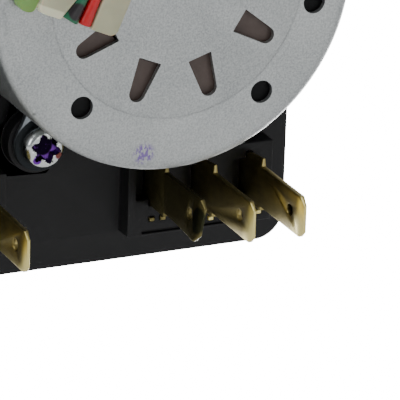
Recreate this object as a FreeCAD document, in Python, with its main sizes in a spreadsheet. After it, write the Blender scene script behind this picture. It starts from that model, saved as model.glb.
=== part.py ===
import FreeCAD, Part
import math
import os
import re
import Sketcher
from FreeCAD import Placement, Rotation, Vector

# Dryer timer: a synchronous motor on the back of a black housing turns a program cam through
# a gear train and a slipping clutch, and the cam works three leaf switches.
# Frame: origin on the knob shaft's axis at the front face of the mounting plate,
# +Y out of the front along the knob shaft, +Z up. The motor side faces -Y. Millimetres.

doc = FreeCAD.newDocument("dryer_timer")
sheet = doc.addObject("Spreadsheet::Sheet", "Sizes")
SIZES = {
    # Housing and plate
    "plate_thickness": 1.2,
    "plate_inset": 1.1,
    "housing_width": 76.2,
    "housing_height": 84.0,
    "housing_depth": 33.0,
    "housing_wall": 2.0,
    "rear_wall": 2.0,
    "housing_corner": 4.7,
    "inner_corner": 2.7,
    "plate_screw_inset": 4.6,
    "plate_screw_lower_height": 14.0,
    "plate_screw_boss": 3.2,
    "plate_screw_radius": 1.25,
    "plate_screw_head": 2.5,
    "plate_screw_length": 9.0,
    "mounting_hole_radius": 2.1,
    "mounting_hole_spacing": 50.8,
    "hole_collar_radius": 3.1,
    "hole_collar_depth": 1.6,

    # Motor
    "motor_across": 9.0,
    "motor_up": 8.0,
    "motor_radius": 27.84,
    "motor_can_height": 18.8,
    "steel_sheet": 0.8,
    "rim_round": 2.1,
    "base_plate_thickness": 1.2,
    "ear_reach": 31.37,
    "ear_angle": 246.0,
    "ear_radius": 4.2,
    "ear_boss_height": 2.4,
    "ear_boss_margin": 0.6,
    "motor_screw_radius": 1.75,
    "motor_screw_head_radius": 3.3,
    "motor_screw_head_height": 2.0,
    "motor_screw_head_bevel": 0.9,
    "recess_radius": 1.19,
    "recess_depth": 1.4,
    "recess_lobe_radius": 0.43,
    "recess_lobe_circle": 1.39,
    "motor_screw_reach": 3.9,
    "claw_count": 9,
    "claw_bearing": 8.2,
    "claw_inner_radius": 11.3,
    "claw_outer_radius": 17.2,
    "claw_root_half_width": 1.82,
    "claw_tip_half_width": 0.9,
    "claw_depth": 7.5,
    "face_hole_radius": 1.7,
    "face_hole_circle": 21.9,
    "coil_inner_radius": 12.4,
    "coil_outer_radius": 26.0,
    "coil_length": 9.4,
    "bobbin_wall": 0.8,
    "winding_inset": 0.6,
    "rotor_radius": 10.0,
    "rotor_core_radius": 6.0,
    "rotor_length": 8.6,
    "running_gap": 0.35,

    # Gear train
    "fine_module": 0.4,
    "fine_pinion_teeth": 8,
    "fine_wheel_teeth": 48,
    "coarse_module": 0.6,
    "coarse_pinion_teeth": 10,
    "drive_wheel_teeth": 60,
    "tooth_backlash": 0.14,
    "centre_ease": 0.05,
    "gear_face": 1.4,
    "gear_spacing": 1.75,
    "gear_pin_radius": 0.6,
    "bore_clearance": 0.05,
    "second_pin_bearing": 200.0,
    "output_shaft_radius": 1.0,
    "output_bush_radius": 2.5,
    "output_bush_length": 2.6,
    "output_pinion_face": 3.0,
    "output_hole_clearance": 1.0,
    "drive_wheel_face": 2.2,
    "drive_wheel_gap": 0.6,
    "wheel_hole_count": 5,
    "wheel_hole_radius": 2.4,
    "wheel_hole_circle": 14.6,

    # Cam, knob shaft and clutch
    "cam_radius": 18.0,
    "cam_rise": 1.8,
    "cam_hub_radius": 7.0,
    "cam_ramp_degrees": 7.0,
    "cam_drop_degrees": 1.0,
    "track_face": 4.0,
    "track_pitch": 7.0,
    "first_track_depth": 5.8,
    "cam_web_radius": 13.0,
    "clutch_height": 0.8,
    "clutch_radius": 12.0,
    "clutch_sheet": 0.3,
    "knob_shaft_radius": 3.175,
    "knob_shaft_reach": 22.0,
    "knob_flat_length": 15.0,
    "knob_flat_distance": 2.5,
    "knob_chamfer": 0.5,
    "rear_journal_radius": 2.6,
    "journal_end_gap": 0.4,
    "front_bush_radius": 5.0,
    "front_bush_flange": 6.6,
    "front_bush_flange_thickness": 0.9,
    "front_bush_length": 3.4,
    "ring_groove_depth": 0.6,
    "ring_thickness": 0.8,
    "ring_reach": 1.7,

    # Terminals and blades
    "terminal_thickness": 0.8,
    "terminal_spacing": 7.95,
    "right_terminal_across": 30.35,
    "left_terminal_across": 12.95,
    "terminal_drop": 29.9,
    "tab_width": 6.35,
    "tab_length": 13.1,
    "tab_reach": 21.5,
    "tab_chamfer": 1.1,
    "tab_hole_radius": 0.9,
    "tab_hole_from_tip": 4.1,
    "root_width": 7.6,
    "slot_clearance": 0.15,
    "platform_height": 3.4,
    "platform_margin": 3.9,
    "platform_drop": 37.4,
    "platform_top": 24.6,
    "pocket_width": 2.6,
    "pocket_height": 5.6,
    "pocket_depth": 2.2,
    "stake_drop": 35.9,
    "stake_width": 1.0,
    "stake_gap": 1.8,
    "stake_proud": 0.35,
    "follower_blade_drop": 20.9,
    "fixed_blade_drop": 24.3,
    "blade_width": 4.0,
    "spring_thickness": 0.4,
    "spring_seat": 5.0,
    "contact_across": 7.0,
    "contact_radius": 1.5,
    "contact_margin": 0.6,
    "contact_thickness": 1.1,
    "contact_gap": 0.5,
    "follower_gap": 0.3,
    "follower_radius": 1.3,

    # Lead connector and leads on the motor face
    "connector_width": 13.4,
    "connector_length": 16.0,
    "connector_height": 3.2,
    "connector_round": 1.3,
    "connector_turn": 61.0,
    "connector_across": 15.6,
    "connector_down": 3.3,
    "red_lead_radius": 0.85,
    "green_lead_radius": 0.95,
    "red_lead_offset": 1.3,
    "green_lead_offset": 1.9,
    "lead_bend": 5.4,
    "lead_stand_off": 2.7,
    "lead_sink": 0.35,
    "lead_tail": 8.0,
    "grommet_wall": 0.8,
    "grommet_lip": 0.4,
}

nodes = []
for row, (alias, number) in enumerate(SIZES.items(), start=1):
    sheet.set("A%d" % row, alias)
    sheet.set("B%d" % row, str(number))
    sheet.setAlias("B%d" % row, alias)
doc.recompute()


def value(alias):
    return float(sheet.get(alias))


# Turns the size names in a formula into references to the sheet.
def formula(text):
    return re.sub(r"[a-z][a-z0-9_]+", lambda hit: "Sizes." + hit.group(0) if hit.group(0) in SIZES
                  else hit.group(0), str(text))


def bind(thing, **formulas):
    for name, text in formulas.items():
        thing.setExpression(name, formula(text))
    return thing


# Stations along the shaft and places across the plate, as formulas of the sizes
REAR_FACE = "(-plate_thickness - housing_depth)"
INNER_REAR = f"({REAR_FACE} + rear_wall)"
BASE_OUTER = f"({REAR_FACE} - ear_boss_height)"
BASE_INNER = f"({BASE_OUTER} - base_plate_thickness)"
MOTOR_FACE = f"({BASE_INNER} - motor_can_height)"
FACE_INNER = f"({MOTOR_FACE} + steel_sheet)"
GEAR_ROOM = "(4 * gear_spacing + running_gap)"
POLE_OUTER = f"({BASE_INNER} - {GEAR_ROOM})"
POLE_INNER = f"({POLE_OUTER} - steel_sheet)"
TAB_TIP = f"({REAR_FACE} - tab_reach)"
PLATFORM_FACE = f"({REAR_FACE} - platform_height)"
TAB_ROOT = f"({TAB_TIP} + tab_length)"
DRIVE_REAR = f"({INNER_REAR} + drive_wheel_gap)"
DRIVE_FRONT = f"({DRIVE_REAR} + drive_wheel_face)"


def layer(index):
    return f"({POLE_OUTER} + running_gap + {index} * gear_spacing)"


def place(thing, x="0", y="0", z="0", rotation=None):
    thing.Placement = Placement(Vector(0, 0, 0), rotation or Rotation())
    for axis, text in (("x", x), ("y", y), ("z", z)):
        thing.setExpression("Placement.Base." + axis, formula(text))
    return thing


ALONG_Y = Rotation(Vector(1, 0, 0), -90)


def rod(name, radius, length, x="0", y="0", z="0"):
    thing = doc.addObject("Part::Cylinder", name)
    bind(thing, Radius=radius, Height=length)
    return place(thing, x, y, z, ALONG_Y)


def cone(name, radius_low, radius_high, length, x="0", y="0", z="0"):
    thing = doc.addObject("Part::Cone", name)
    bind(thing, Radius1=radius_low, Radius2=radius_high, Height=length)
    return place(thing, x, y, z, ALONG_Y)


def block(name, along_x, along_y, along_z, x="0", y="0", z="0"):
    thing = doc.addObject("Part::Box", name)
    bind(thing, Length=along_x, Width=along_y, Height=along_z)
    return place(thing, x, y, z)


def fuse(name, things):
    if len(things) == 1:
        return things[0]
    thing = doc.addObject("Part::MultiFuse", name)
    thing.Shapes = things
    return thing


def cut(name, base, tools):
    thing = doc.addObject("Part::Cut", name)
    thing.Base = base
    thing.Tool = fuse(name + "_tools", tools)
    return thing


def feature(name, shape, x="0", y="0", z="0", rotation=None):
    thing = doc.addObject("Part::Feature", name)
    thing.Shape = shape
    return place(thing, x, y, z, rotation)


# Registers a finished sub-part: its Label is the name of its file.
def node(label, thing):
    thing.Label = label
    nodes.append(thing)
    return thing


def sketch_in(body, plane, offset="0"):
    sketch = body.newObject("Sketcher::SketchObject", "outline")
    origin = [f for f in body.Origin.OriginFeatures if f.Role == plane][0]
    sketch.AttachmentSupport = [(origin, "")]
    sketch.MapMode = "FlatFace"
    sketch.setExpression("AttachmentOffset.Base.z", formula(offset))
    return sketch


def pin_point(sketch, geometry, point, x, y):
    for kind, text in (("DistanceX", x), ("DistanceY", y)):
        index = sketch.addConstraint(Sketcher.Constraint(kind, -1, 1, geometry, point, 1.0))
        sketch.setExpression("Constraints[%d]" % index, formula(text))


# A closed outline of straight lines through corners given as formulas
def polygon(sketch, corners):
    first = sketch.GeometryCount
    count = len(corners)
    ring = [Vector(9 * math.cos(2 * math.pi * i / count), 9 * math.sin(2 * math.pi * i / count), 0)
            for i in range(count)]
    for i in range(count):
        sketch.addGeometry(Part.LineSegment(ring[i], ring[(i + 1) % count]))
    for i in range(count):
        nxt = first + (i + 1) % count
        sketch.addConstraint(Sketcher.Constraint("Coincident", first + i, 2, nxt, 1))
        pin_point(sketch, first + i, 1, *corners[i])


def circle(sketch, radius, x="0", y="0"):
    index = sketch.addGeometry(Part.Circle(Vector(1, 1, 0), Vector(0, 0, 1), 2))
    pin_point(sketch, index, 3, x, y)
    row = sketch.addConstraint(Sketcher.Constraint("Radius", index, 2.0))
    sketch.setExpression("Constraints[%d]" % row, formula(radius))


def pad(body, sketch, length, reverse=False, middle=False):
    step = body.newObject("PartDesign::Pad", "pad")
    step.Profile = sketch
    step.Reversed = reverse
    step.Midplane = middle
    bind(step, Length=length)
    return step


def pocket(body, sketch, length, reverse=False):
    step = body.newObject("PartDesign::Pocket", "pocket")
    step.Profile = sketch
    step.Reversed = reverse
    bind(step, Length=length)
    return step


def edges_where(shape, test):
    return ["Edge%d" % (i + 1) for i, edge in enumerate(shape.Edges) if test(edge)]


def round_edges(body, base, radius, test):
    doc.recompute()
    step = body.newObject("PartDesign::Fillet", "round")
    step.Base = (base, edges_where(base.Shape, test))
    bind(step, Radius=radius)
    return step


def along_shaft(edge):
    span = edge.BoundBox
    return span.YLength > 0.5 and span.XLength < 0.01 and span.ZLength < 0.01


def motor_x(across="0"):
    return f"(motor_across + {across})"


def motor_z(up="0"):
    return f"(motor_up + {up})"


EAR_X = "(ear_reach * cos(ear_angle * 1deg))"
EAR_Z = "(ear_reach * sin(ear_angle * 1deg))"
EARS = ((motor_x(EAR_X), motor_z(EAR_Z)), (motor_x("-" + EAR_X), motor_z("-" + EAR_Z)))
SCREW_X = "(housing_width / 2 - plate_screw_inset)"
SCREW_TOP = "(housing_height / 2 - plate_screw_inset)"
SCREWS = ((SCREW_X, SCREW_TOP), ("-" + SCREW_X, SCREW_TOP),
          (SCREW_X, "-plate_screw_lower_height"), ("-" + SCREW_X, "-plate_screw_lower_height"))

# The output shaft stands where its pinion meets the drive gear, on the line from the knob
# shaft through the motor's axis. The idler pins follow from equal centre distances.
OUTPUT_REACH = "((coarse_pinion_teeth + drive_wheel_teeth) * coarse_module / 2 + centre_ease)"
MOTOR_REACH = "sqrt(motor_across ^ 2 + motor_up ^ 2)"
OUTPUT_X = f"({OUTPUT_REACH} * motor_across / {MOTOR_REACH})"
OUTPUT_Z = f"({OUTPUT_REACH} * motor_up / {MOTOR_REACH})"
STEP = "((fine_pinion_teeth + fine_wheel_teeth) * fine_module / 2 + centre_ease)"
HALF_SPAN = f"(({OUTPUT_REACH} - {MOTOR_REACH}) / 2)"
RISE = f"sqrt({STEP} ^ 2 - {HALF_SPAN} ^ 2)"
MIDDLE = f"({OUTPUT_REACH} + {MOTOR_REACH}) / 2"
PIN_1_X = f"(({MIDDLE}) * motor_across / {MOTOR_REACH} + {RISE} * motor_up / {MOTOR_REACH})"
PIN_1_Z = f"(({MIDDLE}) * motor_up / {MOTOR_REACH} - {RISE} * motor_across / {MOTOR_REACH})"
PIN_2_X = f"({PIN_1_X} + {STEP} * cos(second_pin_bearing * 1deg))"
PIN_2_Z = f"({PIN_1_Z} + {STEP} * sin(second_pin_bearing * 1deg))"

# Terminals: name, place across, side of the cam, blade track counted from the front
RIGHT = [f"(right_terminal_across - {i} * terminal_spacing)" for i in range(3)]
LEFT = [f"(-left_terminal_across - {i} * terminal_spacing)" for i in range(3)]


def track(index):
    return f"(-plate_thickness - first_track_depth - {index} * track_pitch)"


# Housing: one moulding, open at the front, with the terminal platforms and ear bosses outside
def make_housing():
    body = doc.addObject("PartDesign::Body", "housing_shell")
    half_width = "housing_width / 2"
    half_height = "housing_height / 2"
    outer = sketch_in(body, "XZ_Plane", "plate_thickness")
    polygon(outer, [("-" + half_width, "-" + half_height), (half_width, "-" + half_height),
                    (half_width, half_height), ("-" + half_width, half_height)])
    solid = pad(body, outer, "housing_depth")
    solid = round_edges(body, solid, "housing_corner", along_shaft)
    inner = sketch_in(body, "XZ_Plane", "plate_thickness")
    inner_width = "(housing_width / 2 - housing_wall)"
    inner_height = "(housing_height / 2 - housing_wall)"
    polygon(inner, [("-" + inner_width, "-" + inner_height), (inner_width, "-" + inner_height),
                    (inner_width, inner_height), ("-" + inner_width, inner_height)])
    hollow = pocket(body, inner, "housing_depth - rear_wall", reverse=True)
    width = value("housing_width") / 2 - value("housing_wall")
    body.Tip = round_edges(body, hollow, "inner_corner", lambda edge: along_shaft(edge)
                           and abs(abs(edge.BoundBox.XMax) - width) < 0.01)
    pieces = [body]
    for x, z in SCREWS:
        pieces.append(rod("screw_boss", "plate_screw_boss", "housing_depth - rear_wall", x, INNER_REAR, z))
    for x, z in EARS:
        pieces.append(rod("ear_boss", "ear_radius + ear_boss_margin", "ear_boss_height", x,
                          BASE_OUTER, z))
    for high, _, low in (RIGHT, LEFT):
        pieces.append(block("platform", f"({high} - {low} + 2 * platform_margin)", "platform_height",
                            "platform_drop - platform_top", f"({low} - platform_margin)", PLATFORM_FACE,
                            "-platform_drop"))
    tools = [rod("output_opening", "coarse_module * (coarse_pinion_teeth / 2 + 1) + output_hole_clearance",
                 "rear_wall", OUTPUT_X, REAR_FACE, OUTPUT_Z),
             rod("rear_bearing", "rear_journal_radius + bore_clearance", "rear_wall", "0", REAR_FACE, "0")]
    for x, z in SCREWS:
        tools.append(rod("plate_screw_hole", "plate_screw_radius", "plate_screw_length", x,
                         "(-plate_thickness - plate_screw_length)", z))
    for x, z in EARS:
        tools.append(rod("motor_screw_hole", "motor_screw_radius", "ear_boss_height + rear_wall", x,
                         BASE_OUTER, z))
    for x in RIGHT + LEFT:
        tools.append(block("terminal_slot", "terminal_thickness + 2 * slot_clearance",
                           "platform_height + rear_wall", "root_width + 2 * slot_clearance",
                           f"({x} - terminal_thickness / 2 - slot_clearance)", PLATFORM_FACE,
                           "(-terminal_drop - root_width / 2 - slot_clearance)"))
        tools.append(block("terminal_pocket", "pocket_width", "pocket_depth", "pocket_height",
                           f"({x} - pocket_width)", PLATFORM_FACE, "(-terminal_drop - pocket_height / 2)"))
        for shift in ("-stake_width / 2", "-stake_width / 2 + stake_gap"):
            tools.append(block("stake_slot", "stake_width", "platform_height + rear_wall",
                               "terminal_thickness", f"({x} + {shift})", PLATFORM_FACE,
                               "(-stake_drop - terminal_thickness / 2)"))
    for x, offset in lead_places():
        tools.append(rod("grommet_hole", offset + " + grommet_wall", "rear_wall", x[0], REAR_FACE, x[1]))
    return node("housing", cut("housing_cut", fuse("housing_body", pieces), tools))


# Leads run up the motor face along the connector's own direction, over the rim and back
# into the housing. The place of each is where its line leaves the rim.
LEAD_X = "cos(connector_turn * 1deg)"
LEAD_Z = "sin(connector_turn * 1deg)"


def lead_start(offset):
    return (f"(-connector_across + {offset} * {LEAD_Z})", f"(-connector_down - {offset} * {LEAD_X})")


def lead_side(offset):
    x, z = lead_start(offset)
    along = f"({x} * {LEAD_X} + {z} * {LEAD_Z})"
    reach = f"(-{along} + sqrt({along} ^ 2 - {x} ^ 2 - {z} ^ 2 + motor_radius ^ 2) + lead_stand_off)"
    return (motor_x(f"{x} + {reach} * {LEAD_X}"), motor_z(f"{z} + {reach} * {LEAD_Z}"), reach)


RED_OFFSET = "red_lead_offset"
GREEN_OFFSET = "-green_lead_offset"


def lead_places():
    return [(lead_side(RED_OFFSET)[:2], "red_lead_radius"), (lead_side(GREEN_OFFSET)[:2], "green_lead_radius")]


# Mounting plate: pressed steel, with two threaded collars for the appliance's screws
def make_plate():
    body = doc.addObject("PartDesign::Body", "plate_sheet")
    half_width = "(housing_width / 2 - plate_inset)"
    half_height = "(housing_height / 2 - plate_inset)"
    outer = sketch_in(body, "XZ_Plane")
    polygon(outer, [("-" + half_width, "-" + half_height), (half_width, "-" + half_height),
                    (half_width, half_height), ("-" + half_width, half_height)])
    solid = pad(body, outer, "plate_thickness")
    solid = round_edges(body, solid, "housing_corner - plate_inset", along_shaft)
    collars = sketch_in(body, "XZ_Plane", "plate_thickness")
    for side in ("", "-"):
        circle(collars, "hole_collar_radius", f"{side}mounting_hole_spacing / 2", "0")
    solid = pad(body, collars, "hole_collar_depth")
    holes = sketch_in(body, "XZ_Plane")
    for side in ("", "-"):
        circle(holes, "mounting_hole_radius", f"{side}mounting_hole_spacing / 2", "0")
    circle(holes, "front_bush_radius")
    body.Tip = pocket(body, holes, "plate_thickness + hole_collar_depth", reverse=True)
    seats = [cone("screw_seat", "plate_screw_radius", "plate_screw_head", "plate_thickness", x,
                  "-plate_thickness", z) for x, z in SCREWS]
    return node("mounting_plate", cut("plate_cut", body, seats))


def make_plate_screws():
    screws = []
    for x, z in SCREWS:
        shank = rod("screw_shank", "plate_screw_radius", "plate_screw_length", x,
                    "(-plate_thickness - plate_screw_length)", z)
        head = cone("screw_head", "plate_screw_radius", "plate_screw_head", "plate_thickness", x,
                    "-plate_thickness", z)
        slot = block("screw_slot", "2 * plate_screw_head", "plate_thickness / 2", "plate_screw_head / 4",
                     f"({x} - plate_screw_head)", "(-plate_thickness / 2)", f"({z} - plate_screw_head / 8)")
        screws.append(cut("screw", fuse("screw_blank", [shank, head]), [slot]))
    bundle = doc.addObject("Part::Compound", "plate_screw_set")
    bundle.Links = screws
    return node("plate_screws", bundle)


# A ring of windows cut and of tongues bent at their inner edge, all from one sheet.
# The sheet lies at the given depth in the body's own frame and the tongues stand on one side.
def claw_ring(body, sheet_low, tongue_root, tongue_tip):
    windows = sketch_in(body, "XZ_Plane", sheet_low)
    polygon(windows, [("claw_inner_radius", "claw_root_half_width"),
                      ("claw_outer_radius", "claw_tip_half_width"),
                      ("claw_outer_radius + claw_tip_half_width / 2", "0"),
                      ("claw_outer_radius", "-claw_tip_half_width"),
                      ("claw_inner_radius", "-claw_root_half_width")])
    opening = pocket(body, windows, "steel_sheet * 2", reverse=True)
    tongue = sketch_in(body, "YZ_Plane", "claw_inner_radius - steel_sheet")
    polygon(tongue, [(tongue_root, "claw_root_half_width"), (tongue_tip, "claw_tip_half_width"),
                     (tongue_tip, "-claw_tip_half_width"), (tongue_root, "-claw_root_half_width")])
    blade = pad(body, tongue, "steel_sheet")
    doc.recompute()
    pattern = body.newObject("PartDesign::PolarPattern", "claws")
    pattern.Originals = [opening, blade]
    pattern.Axis = (windows, ["N_Axis"])
    pattern.Angle = 360
    bind(pattern, Occurrences="claw_count")
    body.Tip = pattern
    doc.recompute()
    return pattern


# Motor can: a drawn steel cup, its closed face cut into tapered claws that bend inwards
def make_motor_can():
    body = doc.addObject("PartDesign::Body", "can_body")
    place(body, motor_x(), BASE_INNER, motor_z(), Rotation(Vector(0, 1, 0), -value("claw_bearing")))
    outer = sketch_in(body, "XZ_Plane")
    circle(outer, "motor_radius")
    solid = pad(body, outer, "motor_can_height")
    height = value("motor_can_height")
    solid = round_edges(body, solid, "rim_round", lambda edge: edge.BoundBox.YMax < 0.1 - height)
    inner = sketch_in(body, "XZ_Plane")
    circle(inner, "motor_radius - steel_sheet")
    solid = pocket(body, inner, "motor_can_height - steel_sheet", reverse=True)
    radius = value("motor_radius") - value("steel_sheet")
    depth = value("motor_can_height") - value("steel_sheet")
    doc.recompute()
    bevel = body.newObject("PartDesign::Chamfer", "inner_bevel")
    bevel.Base = (solid, edges_where(solid.Shape, lambda edge: abs(edge.BoundBox.YMax + depth) < 0.01
                                     and abs(edge.BoundBox.XMax - radius) < 0.01))
    bind(bevel, Size="rim_round - steel_sheet")
    holes = sketch_in(body, "XZ_Plane", "motor_can_height - steel_sheet * 1.5")
    for step in (2, 5, 7, 8):
        angle = f"(({step} + 0.5) * 360deg / claw_count)"
        circle(holes, "face_hole_radius", f"face_hole_circle * cos{angle}", f"face_hole_circle * sin{angle}")
    body.Tip = pocket(body, holes, "steel_sheet * 2", reverse=True)
    claw_ring(body, "motor_can_height - steel_sheet * 1.5", "-motor_can_height + steel_sheet * 0.6",
              "-motor_can_height + steel_sheet + claw_depth")
    return node("motor_can", body)


# Pole plate: the facing ring of claws, turned by half a pitch
def make_pole_plate():
    body = doc.addObject("PartDesign::Body", "pole_body")
    outer = sketch_in(body, "XZ_Plane")
    circle(outer, "motor_radius - steel_sheet")
    pad(body, outer, "steel_sheet")
    holes = sketch_in(body, "XZ_Plane", "-steel_sheet / 2")
    circle(holes, "fine_module * (fine_pinion_teeth / 2 + 1) + running_gap")
    body.Tip = pocket(body, holes, "steel_sheet * 2", reverse=True)
    claw_ring(body, "-steel_sheet / 2", "-steel_sheet * 0.6", "-steel_sheet - claw_depth")
    bearing_between = value("claw_bearing") + 180 / value("claw_count")
    place(body, motor_x(), POLE_OUTER, motor_z(), Rotation(Vector(0, 1, 0), -bearing_between))
    pins = [rod("pin_hole", "gear_pin_radius", "3 * steel_sheet", x, f"({POLE_INNER} - steel_sheet)", z)
            for x, z in ((PIN_1_X, PIN_1_Z), (PIN_2_X, PIN_2_Z))]
    pins.append(rod("output_pivot", "output_shaft_radius + bore_clearance", "3 * steel_sheet", OUTPUT_X,
                    f"({POLE_INNER} - steel_sheet)", OUTPUT_Z))
    return node("pole_plate", cut("pole_cut", body, pins))


# Base plate: closes the can's open end and carries the motor on two ears
def make_base_plate():
    disc = rod("base_disc", "motor_radius", "base_plate_thickness", motor_x(), BASE_INNER, motor_z())
    pieces = [disc]
    for side, (x, z) in zip((1, -1), EARS):
        pieces.append(rod("ear", "ear_radius", "base_plate_thickness", x, BASE_INNER, z))
        neck = doc.addObject("Part::Box", "ear_neck")
        bind(neck, Length="ear_reach", Width="base_plate_thickness", Height="2 * ear_radius")
        turn = -value("ear_angle") + (0 if side > 0 else 180)
        place(neck, motor_x(), BASE_INNER, motor_z(), Rotation(Vector(0, 1, 0), turn))
        lift = Rotation(Vector(0, 1, 0), turn).multVec(Vector(0, 0, -1))
        neck.setExpression("Placement.Base.x", formula(motor_x(f"ear_radius * {lift.x:.9f}")))
        neck.setExpression("Placement.Base.z", formula(motor_z(f"ear_radius * {lift.z:.9f}")))
        pieces.append(neck)
    tools = [rod("ear_hole", "motor_screw_radius", "base_plate_thickness", x, BASE_INNER, z) for x, z in EARS]
    tools += [rod("pin_hole", "gear_pin_radius", "base_plate_thickness", x, BASE_INNER, z)
              for x, z in ((PIN_1_X, PIN_1_Z), (PIN_2_X, PIN_2_Z))]
    tools.append(rod("bush_hole", "output_bush_radius", "base_plate_thickness", OUTPUT_X, BASE_INNER, OUTPUT_Z))
    return node("motor_base_plate", cut("base_cut", fuse("base_blank", pieces), tools))


def make_motor_screws():
    screws = []
    for x, z in EARS:
        head = rod("head", "motor_screw_head_radius", "motor_screw_head_height - motor_screw_head_bevel", x,
                   f"({BASE_INNER} - motor_screw_head_height + motor_screw_head_bevel)", z)
        crown = cone("crown", "motor_screw_head_radius - motor_screw_head_bevel", "motor_screw_head_radius",
                     "motor_screw_head_bevel", x, f"({BASE_INNER} - motor_screw_head_height)", z)
        shank = rod("shank", "motor_screw_radius", "base_plate_thickness + motor_screw_reach", x, BASE_INNER, z)
        recess = [rod("recess_middle", "recess_radius", "recess_depth", x,
                      f"({BASE_INNER} - motor_screw_head_height)", z)]
        for lobe in range(6):
            angle = f"({lobe} * 60deg)"
            recess.append(rod("recess_lobe", "recess_lobe_radius", "recess_depth",
                              f"({x} + recess_lobe_circle * cos{angle})",
                              f"({BASE_INNER} - motor_screw_head_height)",
                              f"({z} + recess_lobe_circle * sin{angle})"))
        screws.append(cut("motor_screw", fuse("screw_blank", [head, crown, shank]), recess))
    bundle = doc.addObject("Part::Compound", "motor_screw_set")
    bundle.Links = screws
    return node("motor_screws", bundle)


def make_coil():
    low = f"({POLE_INNER} - coil_length)"
    flange_low = rod("flange_low", "coil_outer_radius", "bobbin_wall", motor_x(), low, motor_z())
    flange_high = rod("flange_high", "coil_outer_radius", "bobbin_wall", motor_x(),
                      f"({POLE_INNER} - bobbin_wall)", motor_z())
    core = rod("core", "coil_inner_radius + bobbin_wall", "coil_length", motor_x(), low, motor_z())
    bore = rod("bore", "coil_inner_radius", "coil_length", motor_x(), low, motor_z())
    node("coil_bobbin", cut("bobbin_cut", fuse("bobbin_blank", [flange_low, flange_high, core]), [bore]))
    wire = rod("wire", "coil_outer_radius - winding_inset", "coil_length - 2 * bobbin_wall", motor_x(),
               f"({low} + bobbin_wall)", motor_z())
    hollow = rod("wire_bore", "coil_inner_radius + bobbin_wall", "coil_length - 2 * bobbin_wall", motor_x(),
                 f"({low} + bobbin_wall)", motor_z())
    node("coil_winding", cut("winding_cut", wire, [hollow]))


# Involute spur teeth about the Y axis, thinned by the backlash. The middle of a tooth, or of a
# gap, faces the given bearing in the X-Z plane.
def gear_shape(teeth, module, face, bore, bearing_degrees, gap=False):
    pitch = teeth * module / 2
    base = pitch * math.cos(math.radians(20))
    tip = pitch + module
    root = pitch - 1.25 * module
    low = max(base, root)

    def involute(radius):
        angle = math.acos(min(1.0, base / radius))
        return math.tan(angle) - angle

    half = math.pi / (2 * teeth) - value("tooth_backlash") / (2 * pitch) + involute(pitch)
    corners = []
    for k in range(teeth):
        centre = math.radians(bearing_degrees) + 2 * math.pi * (k + (0.5 if gap else 0)) / teeth
        flank = [(root, half)] if root < base else []
        flank += [(r, half - involute(r)) for r in (low, (low + tip) / 2, tip)]
        corners += [(r, centre - a) for r, a in flank]
        corners += [(r, centre + a) for r, a in reversed(flank)]
    points = [Vector(r * math.cos(a), 0, r * math.sin(a)) for r, a in corners]
    outline = Part.makePolygon(points + [points[0]])
    blank = Part.Face(outline).extrude(Vector(0, face, 0))
    if bore > 0:
        blank = blank.cut(Part.makeCylinder(bore, face, Vector(0, 0, 0), Vector(0, 1, 0)))
    return blank


def disc_shape(radius, length, low=0.0, bore=0.0):
    disc = Part.makeCylinder(radius, length, Vector(0, low, 0), Vector(0, 1, 0))
    if bore > 0:
        disc = disc.cut(Part.makeCylinder(bore, length, Vector(0, low, 0), Vector(0, 1, 0)))
    return disc


# A wheel and the smaller pinion moulded on it, the pinion one layer nearer the front
def compound_gear(label, x, z, index, wheel_turn, pinion_turn):
    bore = value("gear_pin_radius") + value("bore_clearance")
    face = value("gear_face")
    wheel = gear_shape(int(value("fine_wheel_teeth")), value("fine_module"), face, bore, wheel_turn, gap=True)
    pinion = gear_shape(int(value("fine_pinion_teeth")), value("fine_module"), value("gear_spacing"), bore,
                        pinion_turn)
    pinion.translate(Vector(0, face, 0))
    return node(label, feature(label + "_solid", wheel.fuse(pinion).removeSplitter(), x, layer(index), z))


# Bearing in the X-Z plane from one axis to another, in degrees, read from the placed pieces
def bearing(start, end):
    return math.degrees(math.atan2(end[1] - start[1], end[0] - start[0]))


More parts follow.
